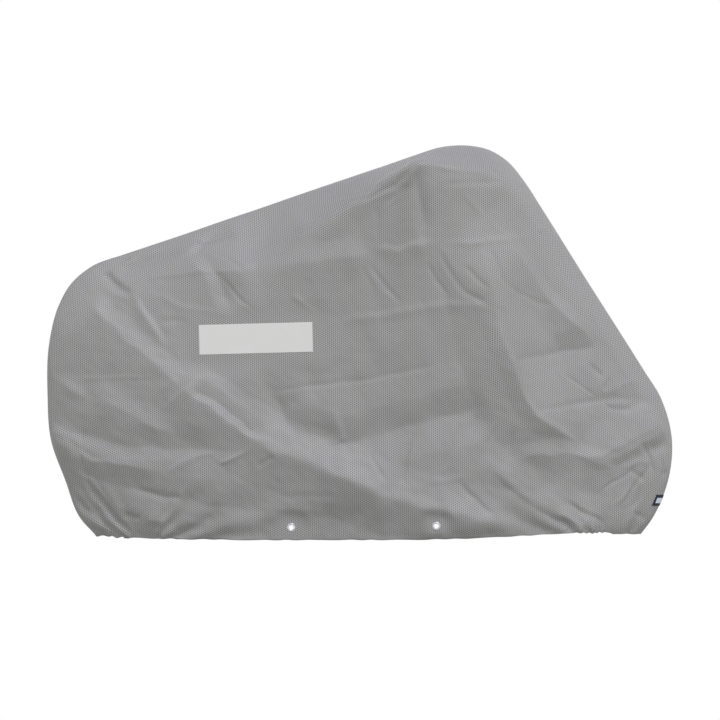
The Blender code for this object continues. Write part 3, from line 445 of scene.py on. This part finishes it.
def fold_height(x, z, folds, tip):
    """How far all the folds together lift the cloth at x, z."""
    spots = np.stack((x, z), axis=-1)[..., None, :]
    lift = np.zeros(x.shape)
    for fold in folds:
        path = np.array(fold.path, float)
        runs = np.diff(path, axis=0)
        lengths = np.hypot(runs[:, 0], runs[:, 1])
        starts = np.concatenate(([0.0], np.cumsum(lengths)[:-1]))
        away = spots - path[:-1]
        share = np.clip((away * runs).sum(-1) / lengths ** 2, 0.0, 1.0)
        off = away - share[..., None] * runs
        distance = np.hypot(off[..., 0], off[..., 1])
        above = runs[:, 0] * off[..., 1] - runs[:, 1] * off[..., 0] > 0
        nearest = distance.argmin(-1)[..., None]
        along = np.take_along_axis(starts + share * lengths, nearest, -1)[..., 0] / lengths.sum()
        width = np.where(np.take_along_axis(above, nearest, -1)[..., 0], fold.above, fold.below)
        across = np.take_along_axis(distance, nearest, -1)[..., 0] / width
        round_off = np.sqrt(across * across + tip * tip) - tip
        crest = np.clip(1.0 - round_off, 0.0, 1.0) ** FOLD_TOE
        lift += fold.height * crest * ease(along / fold.start) * ease((1.0 - along) / fold.end)
    return lift


def ripple(x, z, length, seed):
    """Uneven waves of about one length that run every way, from about -1 to 1."""
    chance = np.random.default_rng(seed)
    turns = chance.uniform(0.0, math.tau, RIPPLE_WAVES)
    lengths = chance.uniform(RIPPLE_SHORT, RIPPLE_LONG, RIPPLE_WAVES) * length
    starts = chance.uniform(0.0, math.tau, RIPPLE_WAVES)
    waves = [np.sin((x * math.cos(turn) + z * math.sin(turn)) * math.tau / run + start)
             for turn, run, start in zip(turns, lengths, starts)]
    return sum(waves) / math.sqrt(RIPPLE_WAVES)


def ripples(x, z, sizes, seed):
    """Waves of several sizes together. Each size is a height and a length."""
    return sum(height * ripple(x, z, length, seed + number) for number, (height, length) in enumerate(sizes))


def stray(x, z, sizes, seed):
    """Places moved a little, so that nothing laid along a path runs straight."""
    return x + ripples(x, z, sizes, seed), z + ripples(x, z, sizes, seed + len(sizes))


def pleat_height(x, z):
    """Pleats of the drawn-in hem at both ends."""
    lift = np.zeros(x.shape)
    for pleats in PLEATS:
        angle = np.arctan2(z - pleats.z, x - pleats.x)
        reach = 1.0 - ease((z - PLEAT_LOW) / pleats.reach)
        outer = ease((np.abs(x - pleats.x) - PLEAT_INNER) / PLEAT_SPREAD)
        wave = np.sin(2.0 * pleats.count * angle + np.sin(PLEAT_SWAY * angle))
        lift += pleats.height * reach * outer * wave
    return lift


def calm_share(x, z):
    """0 where the label needs smooth cloth, 1 away from it."""
    return ease((np.hypot(x - LABEL_X, z - LABEL_Z) - LABEL_CALM) / LABEL_CALM)


def rectangle_share(x, z, middle_x, middle_z, half_x, half_z, tilt, blend):
    """1 inside a rectangle, falling to 0 over the blend around it."""
    along = (x - middle_x) * math.cos(tilt) + (z - middle_z) * math.sin(tilt)
    across = (z - middle_z) * math.cos(tilt) - (x - middle_x) * math.sin(tilt)
    outside = np.hypot(np.maximum(np.abs(along) - half_x, 0.0), np.maximum(np.abs(across) - half_z, 0.0))
    return 1.0 - ease(outside / blend)


def eyelet_half(side, eyelet):
    return eyelet.right_half if side.sign < 0 else eyelet.left_half


def flatten(points, side):
    """Brings the cloth into the plane of the patch, and of each eyelet."""
    x, out, z = points[..., 0], points[..., 1], points[..., 2]
    if side.sign < 0:
        plane = PATCH_HALF_WIDTH + PATCH_TURN * (x - PATCH_X) + PATCH_LEAN * (z - PATCH_Z)
        share = rectangle_share(x, z, PATCH_X, PATCH_Z, PATCH_LENGTH / 2 + PATCH_FLAT,
                                PATCH_HEIGHT / 2 + PATCH_FLAT, PATCH_TILT, PATCH_BLEND)
        out += share * (plane - out)
    for eyelet in EYELETS:
        share = rectangle_share(x, z, eyelet.x, eyelet.z, EYELET_FLAT, EYELET_FLAT, 0.0, EYELET_BLEND)
        out += share * (eyelet_half(side, eyelet) - out)


def runs_along(rows):
    """How far every point of a row is from the row's start, along the row."""
    steps = np.linalg.norm(np.diff(rows, axis=-2), axis=-1)
    return np.concatenate((np.zeros((*steps.shape[:-1], 1)), np.cumsum(steps, axis=-1)), axis=-1)


def unit(vectors):
    return vectors / np.maximum(np.linalg.norm(vectors, axis=-1, keepdims=True), 1e-9)


def grid_normals(points):
    return unit(np.cross(np.gradient(points, axis=0), np.gradient(points, axis=1)))


def hem_height(x):
    return np.interp(x, *np.array(HEM, float).T)


def bare_points(columns, share):
    """Cloth with no fold in it, at a share of each section."""
    top_x, top_z, foot_x, *shape = columns
    x = top_x + (foot_x - top_x) * share
    z = top_z + (hem_height(foot_x) - top_z) * share
    return np.stack((x, half_width(share, *shape), z), axis=-1)


def base_sheet(places, roof_rows, wall_rows):
    """One side with no fold in it: points, the same in the flat cloth, and their distance from the seam."""
    columns = smooth_rows(*section_knots(), places).T[..., None]
    top_x, top_z, foot_x, shoulder = columns[:4]
    foot_z = hem_height(foot_x)
    roof = (np.arange(roof_rows) / roof_rows) ** ROOF_CROWD
    wall = np.arange(wall_rows + 1) / wall_rows
    share = np.concatenate((shoulder * roof, shoulder + (1.0 - shoulder) * wall), axis=1)
    points = bare_points(columns, share)
    run = np.hypot(foot_x - top_x, foot_z - top_z)
    up = runs_along(points[:, ::-1])[:, ::-1]
    flat = np.stack((foot_x + (top_x - foot_x) / run * up, foot_z + (top_z - foot_z) / run * up), axis=-1)
    return points, flat, share * run


def folded_sheet(side):
    """One side with its folds and creases: points, flat cloth, outward normals and height above the hem."""
    knots, _ = section_knots()
    places = np.linspace(knots[0], knots[-1], side.columns + 1)
    points, flat, from_seam = base_sheet(places, side.roof_rows, side.wall_rows)
    x, z = points[..., 0], points[..., 2]
    bent = stray(x, z, FOLD_STRAY, side.seed)
    folds = fold_height(*bent, side.folds, FOLD_TIP) + pleat_height(*bent)
    near = stray(x, z, CREASE_STRAY, side.seed)
    fine = CREASE_SHARE * fold_height(*near, side.creases, CREASE_TIP)
    fine += ripples(x, z, UNEVEN, side.seed + 2 * len(FOLD_STRAY))  # after both strays' seeds
    lift = calm_share(x, z) * (folds * ease(from_seam / SEAM_FADE) + fine * ease(from_seam / CREASE_FADE))
    height = z - hem_height(x)
    points = points + grid_normals(points) * lift[..., None]
    points[:, 0, 1] = 0.0
    flatten(points, side)
    for gather in GATHERS:
        inside = ease((x - gather.low_x) / GATHER_GROW) * ease((gather.high_x - x) / GATHER_GROW)
        size = gather.height * inside * (1.0 - ease(height / GATHER_HIGH))
        turn = x * math.tau / gather.pitch
        points[..., 2] += size * np.sin(turn + GATHER_SWAY * np.sin(x / GATHER_SWAY_LENGTH))
        points[..., 1] += size * np.cos(turn) * ease(from_seam / GATHER_SEAM)
    return points, flat, grid_normals(points), height


# ---- meshes ----

def add_object(name, data):
    made = bpy.data.objects.new(name, data)
    bpy.context.scene.collection.objects.link(made)
    return made


def add_mesh(name, points, faces, look, maps=()):
    """points are in the tables' frame. Each map is a name with one pair of numbers for every point."""
    mesh = bpy.data.meshes.new(name)
    mesh.from_pydata(((np.asarray(points, float) + REST) * MM).tolist(), [], faces)
    corners = np.zeros(len(mesh.loops), np.int32)
    mesh.loops.foreach_get("vertex_index", corners)
    for map_name, pairs in maps:
        layer = mesh.uv_layers.new(name=map_name)
        layer.data.foreach_set("uv", np.asarray(pairs, np.float32)[corners].ravel())
    mesh.materials.append(look)
    mesh.shade_smooth()
    return add_object(name, mesh)


def grid_faces(index, flip):
    """Four-cornered faces of a grid of point numbers."""
    quads = np.stack((index[:-1, :-1], index[:-1, 1:], index[1:, 1:], index[1:, :-1]), axis=-1).reshape(-1, 4)
    return quads[:, ::-1] if flip else quads


def turned_edge(edge, inward, normal):
    """Rows of points that carry an edge round and back along the inside of the cloth."""
    return [edge - normal * depth + inward * back for depth, back in EDGE_TURN]


def cover_side(side, look):
    """One side of the cover: one cloth, turned in at the seam and up inside the hem, with eyelet holes."""
    points, flat, normals, height = folded_sheet(side)
    rows = height.shape[1]
    seam_turns, edge_turns = len(SEAM_TURN), len(EDGE_TURN)
    points[:, 0, 1] = SEAM_OPEN
    seam, down = points[:, 0], unit(normals[:, 0] * (1.0, 0.0, 1.0))
    seam_rows = [seam - down * depth + (0.0, out, 0.0) for depth, out in SEAM_TURN]
    hem_rows = turned_edge(points[:, -1], unit(points[:, -3] - points[:, -1]), normals[:, -1])
    body = np.stack(seam_rows + [points[:, row] for row in range(rows)] + hem_rows, axis=1)
    body_flat = np.pad(flat, ((0, 0), (seam_turns, edge_turns), (0, 0)), "edge")
    body_height = np.pad(height, ((0, 0), (seam_turns, edge_turns)), constant_values=(RIM_CLEAR, 0.0))
    index = np.arange(body_height.size).reshape(body_height.shape)
    faces = [grid_faces(index, side.sign > 0)]
    spots, spots_flat, spots_height = [body.reshape(-1, 3)], [body_flat.reshape(-1, 2)], [body_height.ravel()]
    total = body_height.size
    for end, beyond in ((0, 2), (-1, -3)):
        strips = turned_edge(points[end], unit(points[beyond] - points[end]), normals[end])
        numbers = total + np.arange(edge_turns * rows).reshape(edge_turns, rows)
        total += edge_turns * rows
        strip_index = np.concatenate((index[end][None, seam_turns:seam_turns + rows], numbers))
        faces.append(grid_faces(strip_index, (side.sign > 0) == (end == -1)))
        spots.append(np.concatenate(strips))
        spots_flat.append(np.tile(flat[end], (edge_turns, 1)))
        spots_height.append(np.zeros(edge_turns * rows))
    spots, spots_flat = np.concatenate(spots), np.concatenate(spots_flat)
    spots_height, faces = np.concatenate(spots_height), np.concatenate(faces)
    faces = cut_holes(spots, spots_flat, spots_height, faces)
    spots[:, 1] *= side.sign
    maps = (("flat", spots_flat * MM), ("rim", np.stack((spots_height * MM, np.zeros(total)), axis=-1)))
    return add_mesh(f"cover_{side.name}", spots, faces.tolist(), look, maps), points


def cut_holes(spots, spots_flat, spots_height, faces):
    """Leaves out the faces in the eyelets' holes, and rounds the edges that are left."""
    keep = np.ones(len(faces), bool)
    for eyelet in EYELETS:
        away = spots[:, (0, 2)] - (eyelet.x, eyelet.z)
        distance = np.hypot(away[:, 0], away[:, 1])
        inside = (distance < EYELET_CUT) & (spots_height > EYELET_CUT_LOW)
        gone = inside[faces].any(axis=1)
        keep &= ~gone
        rim = np.setdiff1d(np.unique(faces[gone]), np.nonzero(inside)[0])
        move = away[rim] * (EYELET_CUT / distance[rim] - 1.0)[:, None]
        spots[rim[:, None], (0, 2)] += move
        spots_flat[rim] += move
    return faces[keep]


def hem_stitches(side, points, look):
    """A row of stitches that holds the turned-up hem."""
    upward = points[:, ::-1]
    line = np.array([[np.interp(HEM_TURN - STITCH_DROP, up, column[:, axis]) for axis in range(3)]
                     for up, column in zip(runs_along(upward), upward)])
    normal = grid_normals(points)[:, -3]
    runs = runs_along(line)
    starts = np.arange(STITCH_END, runs[-1] - STITCH_LENGTH - STITCH_END, STITCH_PITCH)
    shares, girths = np.array(STITCH_SHAPE).T
    places = starts[:, None] + shares * STITCH_LENGTH

    def along(rows, places):
        return np.stack([np.interp(places, runs, axis) for axis in rows.T], axis=-1)

    middle, out = along(line, places), unit(along(normal, places))
    side_way = unit(np.cross(out, unit(along(line, places + 1.0) - middle)))
    angles = np.arange(STITCH_SIDES)[:, None] * math.tau / STITCH_SIDES
    ring = out[..., None, :] * np.cos(angles) + side_way[..., None, :] * np.sin(angles)
    spots = (middle + out * STITCH_RISE)[..., None, :] + ring * STITCH_RADIUS * girths[:, None, None]
    faces = []
    for index in np.arange(places.size * STITCH_SIDES).reshape(len(starts), len(shares), STITCH_SIDES):
        faces += grid_faces(np.concatenate((index, index[:, :1]), axis=1), False).tolist()
        faces += [index[0, ::-1].tolist(), index[-1].tolist()]
    spots = (spots * (1.0, side.sign, 1.0)).reshape(-1, 3)
    return add_mesh(f"hem_stitches_{side.name}", spots, faces, look)


def eyelet_ring(side, eyelet, look):
    """A turned eyelet: a rolled flange outside, a barrel through the cloth and a flat washer inside."""
    middle, half = (EYELET_HOLE + EYELET_FLANGE) / 2, (EYELET_FLANGE - EYELET_HOLE) / 2
    profile = list(EYELET_BORE)
    for step in range(EYELET_ROLL_STEPS + 1):
        angle = math.pi * step / EYELET_ROLL_STEPS
        rise = EYELET_SEAT + EYELET_ROLL * math.sin(angle) ** EYELET_CROWN
        profile.append((middle - half * math.cos(angle), rise))
    profile += EYELET_UNDER
    spots = []
    for step in range(EYELET_STEPS):
        angle = math.tau * step / EYELET_STEPS
        for radius, rise in profile:
            spots.append((eyelet.x + radius * math.cos(angle), side.sign * (eyelet_half(side, eyelet) + rise),
                          eyelet.z + radius * math.sin(angle)))
    index = np.arange(len(spots)).reshape(EYELET_STEPS, len(profile))
    index = np.concatenate((index, index[:1]))
    index = np.concatenate((index, index[:, :1]), axis=1)
    faces = grid_faces(index, side.sign > 0)
    return add_mesh(f"eyelet_ring_{side.name}_{eyelet.name}", spots, faces.tolist(), look)


def edge_steps(length, cell):
    """Stops along a length: close together at both ends, so that an edge can be round."""
    ends = np.array(EDGE_STOPS)
    inner = np.linspace(EDGE_INNER, length - EDGE_INNER, max(2, round(length / cell)))
    return np.concatenate((ends, inner, length - ends[::-1]))


def edge_lift(edge, seat, thick):
    """How high a thin sheet's face is above the cloth at a distance from its edge, which is round."""
    short = 1.0 - np.clip(edge / EDGE_STOPS[-1], 0.0, 1.0)
    return seat + thick * np.sqrt(1.0 - short * short)


def patch_sheet(look):
    """The pale patch: a thin sheet with rounded edges, on the cloth."""
    along = Vector((1.0, PATCH_TURN, 0.0))
    up = Vector((0.0, PATCH_LEAN, 1.0))
    tilted = (along * math.cos(PATCH_TILT) + up * math.sin(PATCH_TILT)).normalized()
    out = up.cross(along).normalized()
    rise = tilted.cross(out).normalized()
    size = (PATCH_LENGTH, PATCH_HEIGHT)
    a, u = np.meshgrid(*[edge_steps(length, PATCH_CELL) for length in size], indexing="ij")
    edge = np.minimum(np.minimum(a, PATCH_LENGTH - a), np.minimum(u, PATCH_HEIGHT - u))
    lift = edge_lift(edge, PATCH_SEAT, PATCH_THICK)
    spots = (np.array((PATCH_X, PATCH_HALF_WIDTH, PATCH_Z))
             + np.multiply.outer(a - PATCH_LENGTH / 2, np.array(tilted))
             + np.multiply.outer(u - PATCH_HEIGHT / 2, np.array(rise))
             + np.multiply.outer(lift, np.array(out)))
    spots[..., 1] *= -1.0
    index = np.arange(a.size).reshape(a.shape)
    maps = (("flat", np.stack((a, u), axis=-1).reshape(-1, 2) * MM),)
    return add_mesh("patch_sheet", spots.reshape(-1, 3), grid_faces(index, True).tolist(), look, maps)


def level_points(heights):
    """Points of the bare cloth in level rows, from the front seam back."""
    knots, rows = section_knots()
    every = np.linspace(knots[-LABEL_SECTIONS], knots[-1], LABEL_TRIES)
    seam_heights = smooth_rows(knots, rows, every)[:, 1]
    back = LABEL_BACK * np.linspace(0.0, 1.0, LABEL_GRID) ** 2
    level = []
    for height in heights:
        place = np.interp(height, seam_heights[::-1], every[::-1])
        columns = smooth_rows(knots, rows, place - back).T
        top_z, foot_z = columns[1], hem_height(columns[2])
        level.append(bare_points(columns, np.maximum((top_z - height) / (top_z - foot_z), 0.0)))
    return np.array(level)


def label_sheet(look):
    """The level label that goes round the front, over the seam."""
    drops = LABEL_HIGH - edge_steps(LABEL_HIGH - LABEL_LOW, LABEL_CELL)
    points = level_points(drops)
    points[:, 0, 1] = 0.0
    normals = grid_normals(points)
    normals[:, 0] = unit(normals[:, 0] * (1.0, 0.0, 1.0))
    reach = runs_along(points)
    stops = np.concatenate((np.linspace(0.0, LABEL_REACH - LABEL_INNER, LABEL_STOPS),
                            LABEL_REACH - np.array(EDGE_STOPS[::-1])))
    edge = np.minimum.outer(np.minimum(LABEL_HIGH - drops, drops - LABEL_LOW), LABEL_REACH - stops)
    lift = edge_lift(edge, LABEL_SEAT, LABEL_THICK)
    spots = np.zeros((len(drops), len(stops), 3))
    for row in range(len(drops)):
        for axis in range(3):
            spots[row, :, axis] = np.interp(stops, reach[row], points[row, :, axis])
            spots[row, :, axis] += lift[row] * np.interp(stops, reach[row], normals[row, :, axis])
    both = np.concatenate((spots[:, :0:-1] * (1.0, -1.0, 1.0), spots), axis=1)
    flat = np.stack(np.meshgrid(np.concatenate((-stops[:0:-1], stops)), drops - LABEL_LOW), axis=-1)
    index = np.arange(both.shape[0] * both.shape[1]).reshape(both.shape[:2])
    maps = (("flat", flat.reshape(-1, 2) * MM),)
    return add_mesh("label_sheet", both.reshape(-1, 3), grid_faces(index, True).tolist(), look, maps)


# ---- materials ----

class Nodes:
    """A material with short calls for its nodes. A value is a number, a colour or another node's output."""

    def __init__(self, name):
        self.material = bpy.data.materials.new(name)
        self.material.use_nodes = True
        self.tree = self.material.node_tree

    def feed(self, sockets, values):
        """Gives values to sockets by their names or numbers. None leaves a socket as it is."""
        for socket, value in values.items():
            if isinstance(value, bpy.types.NodeSocket):
                self.tree.links.new(value, sockets[socket])
            elif value is not None:
                sockets[socket].default_value = (*value, 1.0) if isinstance(value, tuple) else value

    def node(self, kind, values, **settings):
        made = self.tree.nodes.new("ShaderNode" + kind)
        for name, setting in settings.items():
            setattr(made, name, setting)
        self.feed(made.inputs, values)
        return made.outputs

    def math(self, operation, *values):
        return self.node("Math", dict(enumerate(values)), operation=operation)[0]

    def step(self, value, low, high):
        """0 below low and 1 above high, or the other way round, with a soft change between them."""
        values = {"Value": value, "From Min": low, "From Max": high}
        return self.node("MapRange", values, interpolation_type="SMOOTHSTEP")["Result"]

    def between(self, share, low, high):
        """From low to high as the share goes from 0 to 1."""
        return self.math("MULTIPLY_ADD", share, high - low, low)

    def length(self, across, up):
        return self.math("SQRT", self.math("ADD", *[self.math("POWER", way, 2.0) for way in (across, up)]))

    def weave(self, u, v, turns):
        """Threads over and under each other, from -1 to 1, with a wave of so many radians per millimetre."""
        waves = [self.math("SINE", self.math("MULTIPLY", way, turns)) for way in (u, v)]
        return self.math("MULTIPLY", *waves)

    def flat(self, name):
        """A map's two coordinates, in millimetres."""
        spot = self.node("UVMap", {}, uv_map=name)["UV"]
        return [self.math("DIVIDE", part, MM) for part in self.node("SeparateXYZ", {0: spot})[:2]]

    def noise(self, scale, detail):
        place = self.node("TexCoord", {})["Object"]
        return self.node("TexNoise", {"Vector": place, "Scale": scale, "Detail": detail})["Fac"]

    def mix(self, share, first, second):
        return self.node("Mix", {"Factor": share, 6: first, 7: second}, data_type="RGBA")[2]

    def soiled(self, soil, colour, share):
        """A colour that turns into a share of itself where the soil is."""
        return self.mix(soil, colour, tuple(part * share for part in colour))

    def bump(self, height, distance, strength, under=None):
        return self.node("Bump", {"Height": height, "Distance": distance, "Strength": strength,
                                  "Normal": under})["Normal"]

    def finish(self, colour, normal, roughness, more=()):
        shader = self.tree.nodes["Principled BSDF"]
        values = {"Base Color": colour, "Normal": normal, "Roughness": roughness}
        self.feed(shader.inputs, {**values, **dict(more)})
        return self.material


def dotted_cloth():
    """Coated cloth: a light net of six-sided cells round dark dots, with a plain band along the hem."""
    look = Nodes("dotted_cloth")
    u, v = look.flat("flat")
    half_across, half_up = DOT_PITCH * math.sqrt(3.0) / 2, DOT_PITCH / 2
    across, up = look.math("PINGPONG", u, half_across), look.math("PINGPONG", v, half_up)
    other_across, other_up = look.math("SUBTRACT", half_across, across), look.math("SUBTRACT", half_up, up)
    distance = look.math("MINIMUM", look.length(across, up), look.length(other_across, other_up))
    dots = look.step(distance, DOT_RADIUS + DOT_BLUR, DOT_RADIUS - DOT_BLUR)
    above_hem = look.step(look.flat("rim")[0], *HEM_LINE)
    plain = look.math("MULTIPLY", look.math("SUBTRACT", 1.0, above_hem), HEM_SHADE)
    dots = look.math("MULTIPLY_ADD", dots, above_hem, plain)
    soil = look.noise(scale=3.0, detail=4.0)
    colour = look.mix(dots, look.soiled(soil, NET_COLOUR, 0.93), look.soiled(soil, DOT_COLOUR, 0.9))
    fine = look.bump(look.weave(u, v, 9.0), distance=0.00008, strength=0.5)
    relief = look.bump(look.math("SUBTRACT", 1.0, dots), distance=0.00025, strength=0.35, under=fine)
    more = (("Sheen Weight", 0.08), ("Specular IOR Level", 0.45))
    return look.finish(colour, relief, look.between(dots, 0.44, 0.56), more)


def metal_look():
    look = Nodes("eyelet_metal")
    scratch = look.noise(scale=900.0, detail=3.0)
    colour = look.mix(look.noise(scale=140.0, detail=3.0), *METAL_COLOURS)
    relief = look.bump(scratch, distance=0.00005, strength=0.25)
    return look.finish(colour, relief, look.between(scratch, 0.16, 0.38), (("Metallic", 1.0),))


def patch_look():
    look = Nodes("patch_cloth")
    colour = look.soiled(look.noise(scale=14.0, detail=5.0), PATCH_COLOUR, 0.96)
    relief = look.bump(look.weave(*look.flat("flat"), 7.0), distance=0.0001, strength=0.4)
    return look.finish(colour, relief, look.between(look.noise(scale=60.0, detail=4.0), 0.48, 0.62))


def label_look():
    """A woven label: a dark border round a pale, bare middle."""
    look = Nodes("label_cloth")
    u, v = look.flat("flat")
    end, head = LABEL_REACH - LABEL_ENDS, LABEL_HIGH - LABEL_LOW - LABEL_HEAD
    in_length = look.step(look.math("ABSOLUTE", u), end, end - LABEL_BLUR)
    above_foot = look.step(v, LABEL_FOOT, LABEL_FOOT + LABEL_BLUR)
    in_height = look.math("MULTIPLY", above_foot, look.step(v, head, head - LABEL_BLUR))
    thread = look.weave(u, v, 12.0)
    shade = look.step(thread, -1.0, 1.0)
    dark, pale = look.mix(shade, *LABEL_DARK), look.mix(shade, *LABEL_PALE)
    colour = look.mix(look.math("MULTIPLY", in_length, in_height), dark, pale)
    return look.finish(colour, look.bump(thread, distance=0.00012, strength=0.6), 0.6)


def thread_look():
    look = Nodes("grey_thread")
    colour = look.mix(look.noise(scale=700.0, detail=2.0), *THREAD_COLOURS)
    fibres = look.noise(scale=2600.0, detail=2.0)
    return look.finish(colour, look.bump(fibres, distance=0.0001, strength=0.6), 0.6)


def floor_look():
    look = Nodes("pale_floor")
    colour = look.mix(look.noise(scale=1.6, detail=4.0), *FLOOR_COLOURS)
    grain = look.noise(scale=40.0, detail=5.0)
    return look.finish(colour, look.bump(grain, distance=0.0005, strength=0.15), 0.7)


# ---- the studio ----

def area_light(light):
    lamp = bpy.data.lights.new(light.name, "AREA")
    lamp.shape = "DISK"
    lamp.size = light.size
    lamp.energy = light.power
    lamp.color = light.colour
    holder = add_object(light.name, lamp)
    holder.location = light.place
    holder.rotation_euler = (Vector(light.aim) - Vector(light.place)).to_track_quat("-Z", "Y").to_euler()


def sky():
    """A plain world whose colour changes from straight down to straight up."""
    made = bpy.data.worlds.new("studio")
    made.use_nodes = True
    tree = made.node_tree
    way = tree.nodes.new("ShaderNodeTexCoord")
    parts = tree.nodes.new("ShaderNodeSeparateXYZ")
    ramp = tree.nodes.new("ShaderNodeMapRange")
    colours = tree.nodes.new("ShaderNodeValToRGB")
    ramp.inputs["From Min"].default_value = -1.0
    tree.links.new(way.outputs["Generated"], parts.inputs[0])
    tree.links.new(parts.outputs[2], ramp.inputs["Value"])
    tree.links.new(ramp.outputs["Result"], colours.inputs["Fac"])
    tree.links.new(colours.outputs["Color"], tree.nodes["Background"].inputs["Color"])
    stops = colours.color_ramp.elements
    stops.remove(stops[1])
    for number, (place, colour) in enumerate(SKY):
        stop = stops.new(place) if number else stops[0]
        stop.position, stop.color = place, (*colour, 1.0)
    bpy.context.scene.world = made


def studio():
    sky()
    for light in LIGHTS:
        area_light(light)
    steps = np.linspace(-FLOOR_HALF, FLOOR_HALF, FLOOR_CELLS + 1)
    x, y = np.meshgrid(steps - REST[0], steps, indexing="ij")
    spots = np.stack((x, y, np.zeros(x.shape)), axis=-1).reshape(-1, 3)
    index = np.arange(x.size).reshape(x.shape)
    add_mesh("floor", spots, grid_faces(index, True).tolist(), floor_look())
    lens = bpy.data.cameras.new("camera")
    lens.type = "ORTHO"
    lens.ortho_scale = VIEW_WIDTH
    camera = add_object("camera", lens)
    camera.location = CAMERA_PLACE
    camera.rotation_euler = (math.pi / 2, 0.0, 0.0)
    bpy.context.scene.camera = camera
    bpy.context.scene.view_settings.view_transform = "Standard"


def build():
    cloth, metal, thread = dotted_cloth(), metal_look(), thread_look()
    patch = patch_sheet(patch_look())
    label = label_sheet(label_look())
    for side in SIDES:
        cover, points = cover_side(side, cloth)
        stitches = hem_stitches(side, points, thread)
        rings = []
        for eyelet in EYELETS:
            ring = eyelet_ring(side, eyelet, metal)
            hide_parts(f"eyelet_{side.name}_{eyelet.name}")
            rings.append(ring)
        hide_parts(f"side_panel_{side.name}", f"hem_strip_{side.name}_rear",
                    f"hem_strip_{side.name}_front")
        for piece in (cover, stitches, *rings):
            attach(piece, "root")
    label_size = (LABEL_HIGH - LABEL_LOW, 2 * LABEL_REACH)
    for piece, node, slot, flat in ((patch, "bare_patch", "patch", (PATCH_HEIGHT, PATCH_LENGTH)),
                                    (label, "front_label", "label", label_size)):
        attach(piece, "root")
        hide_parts(node)


build()
studio()
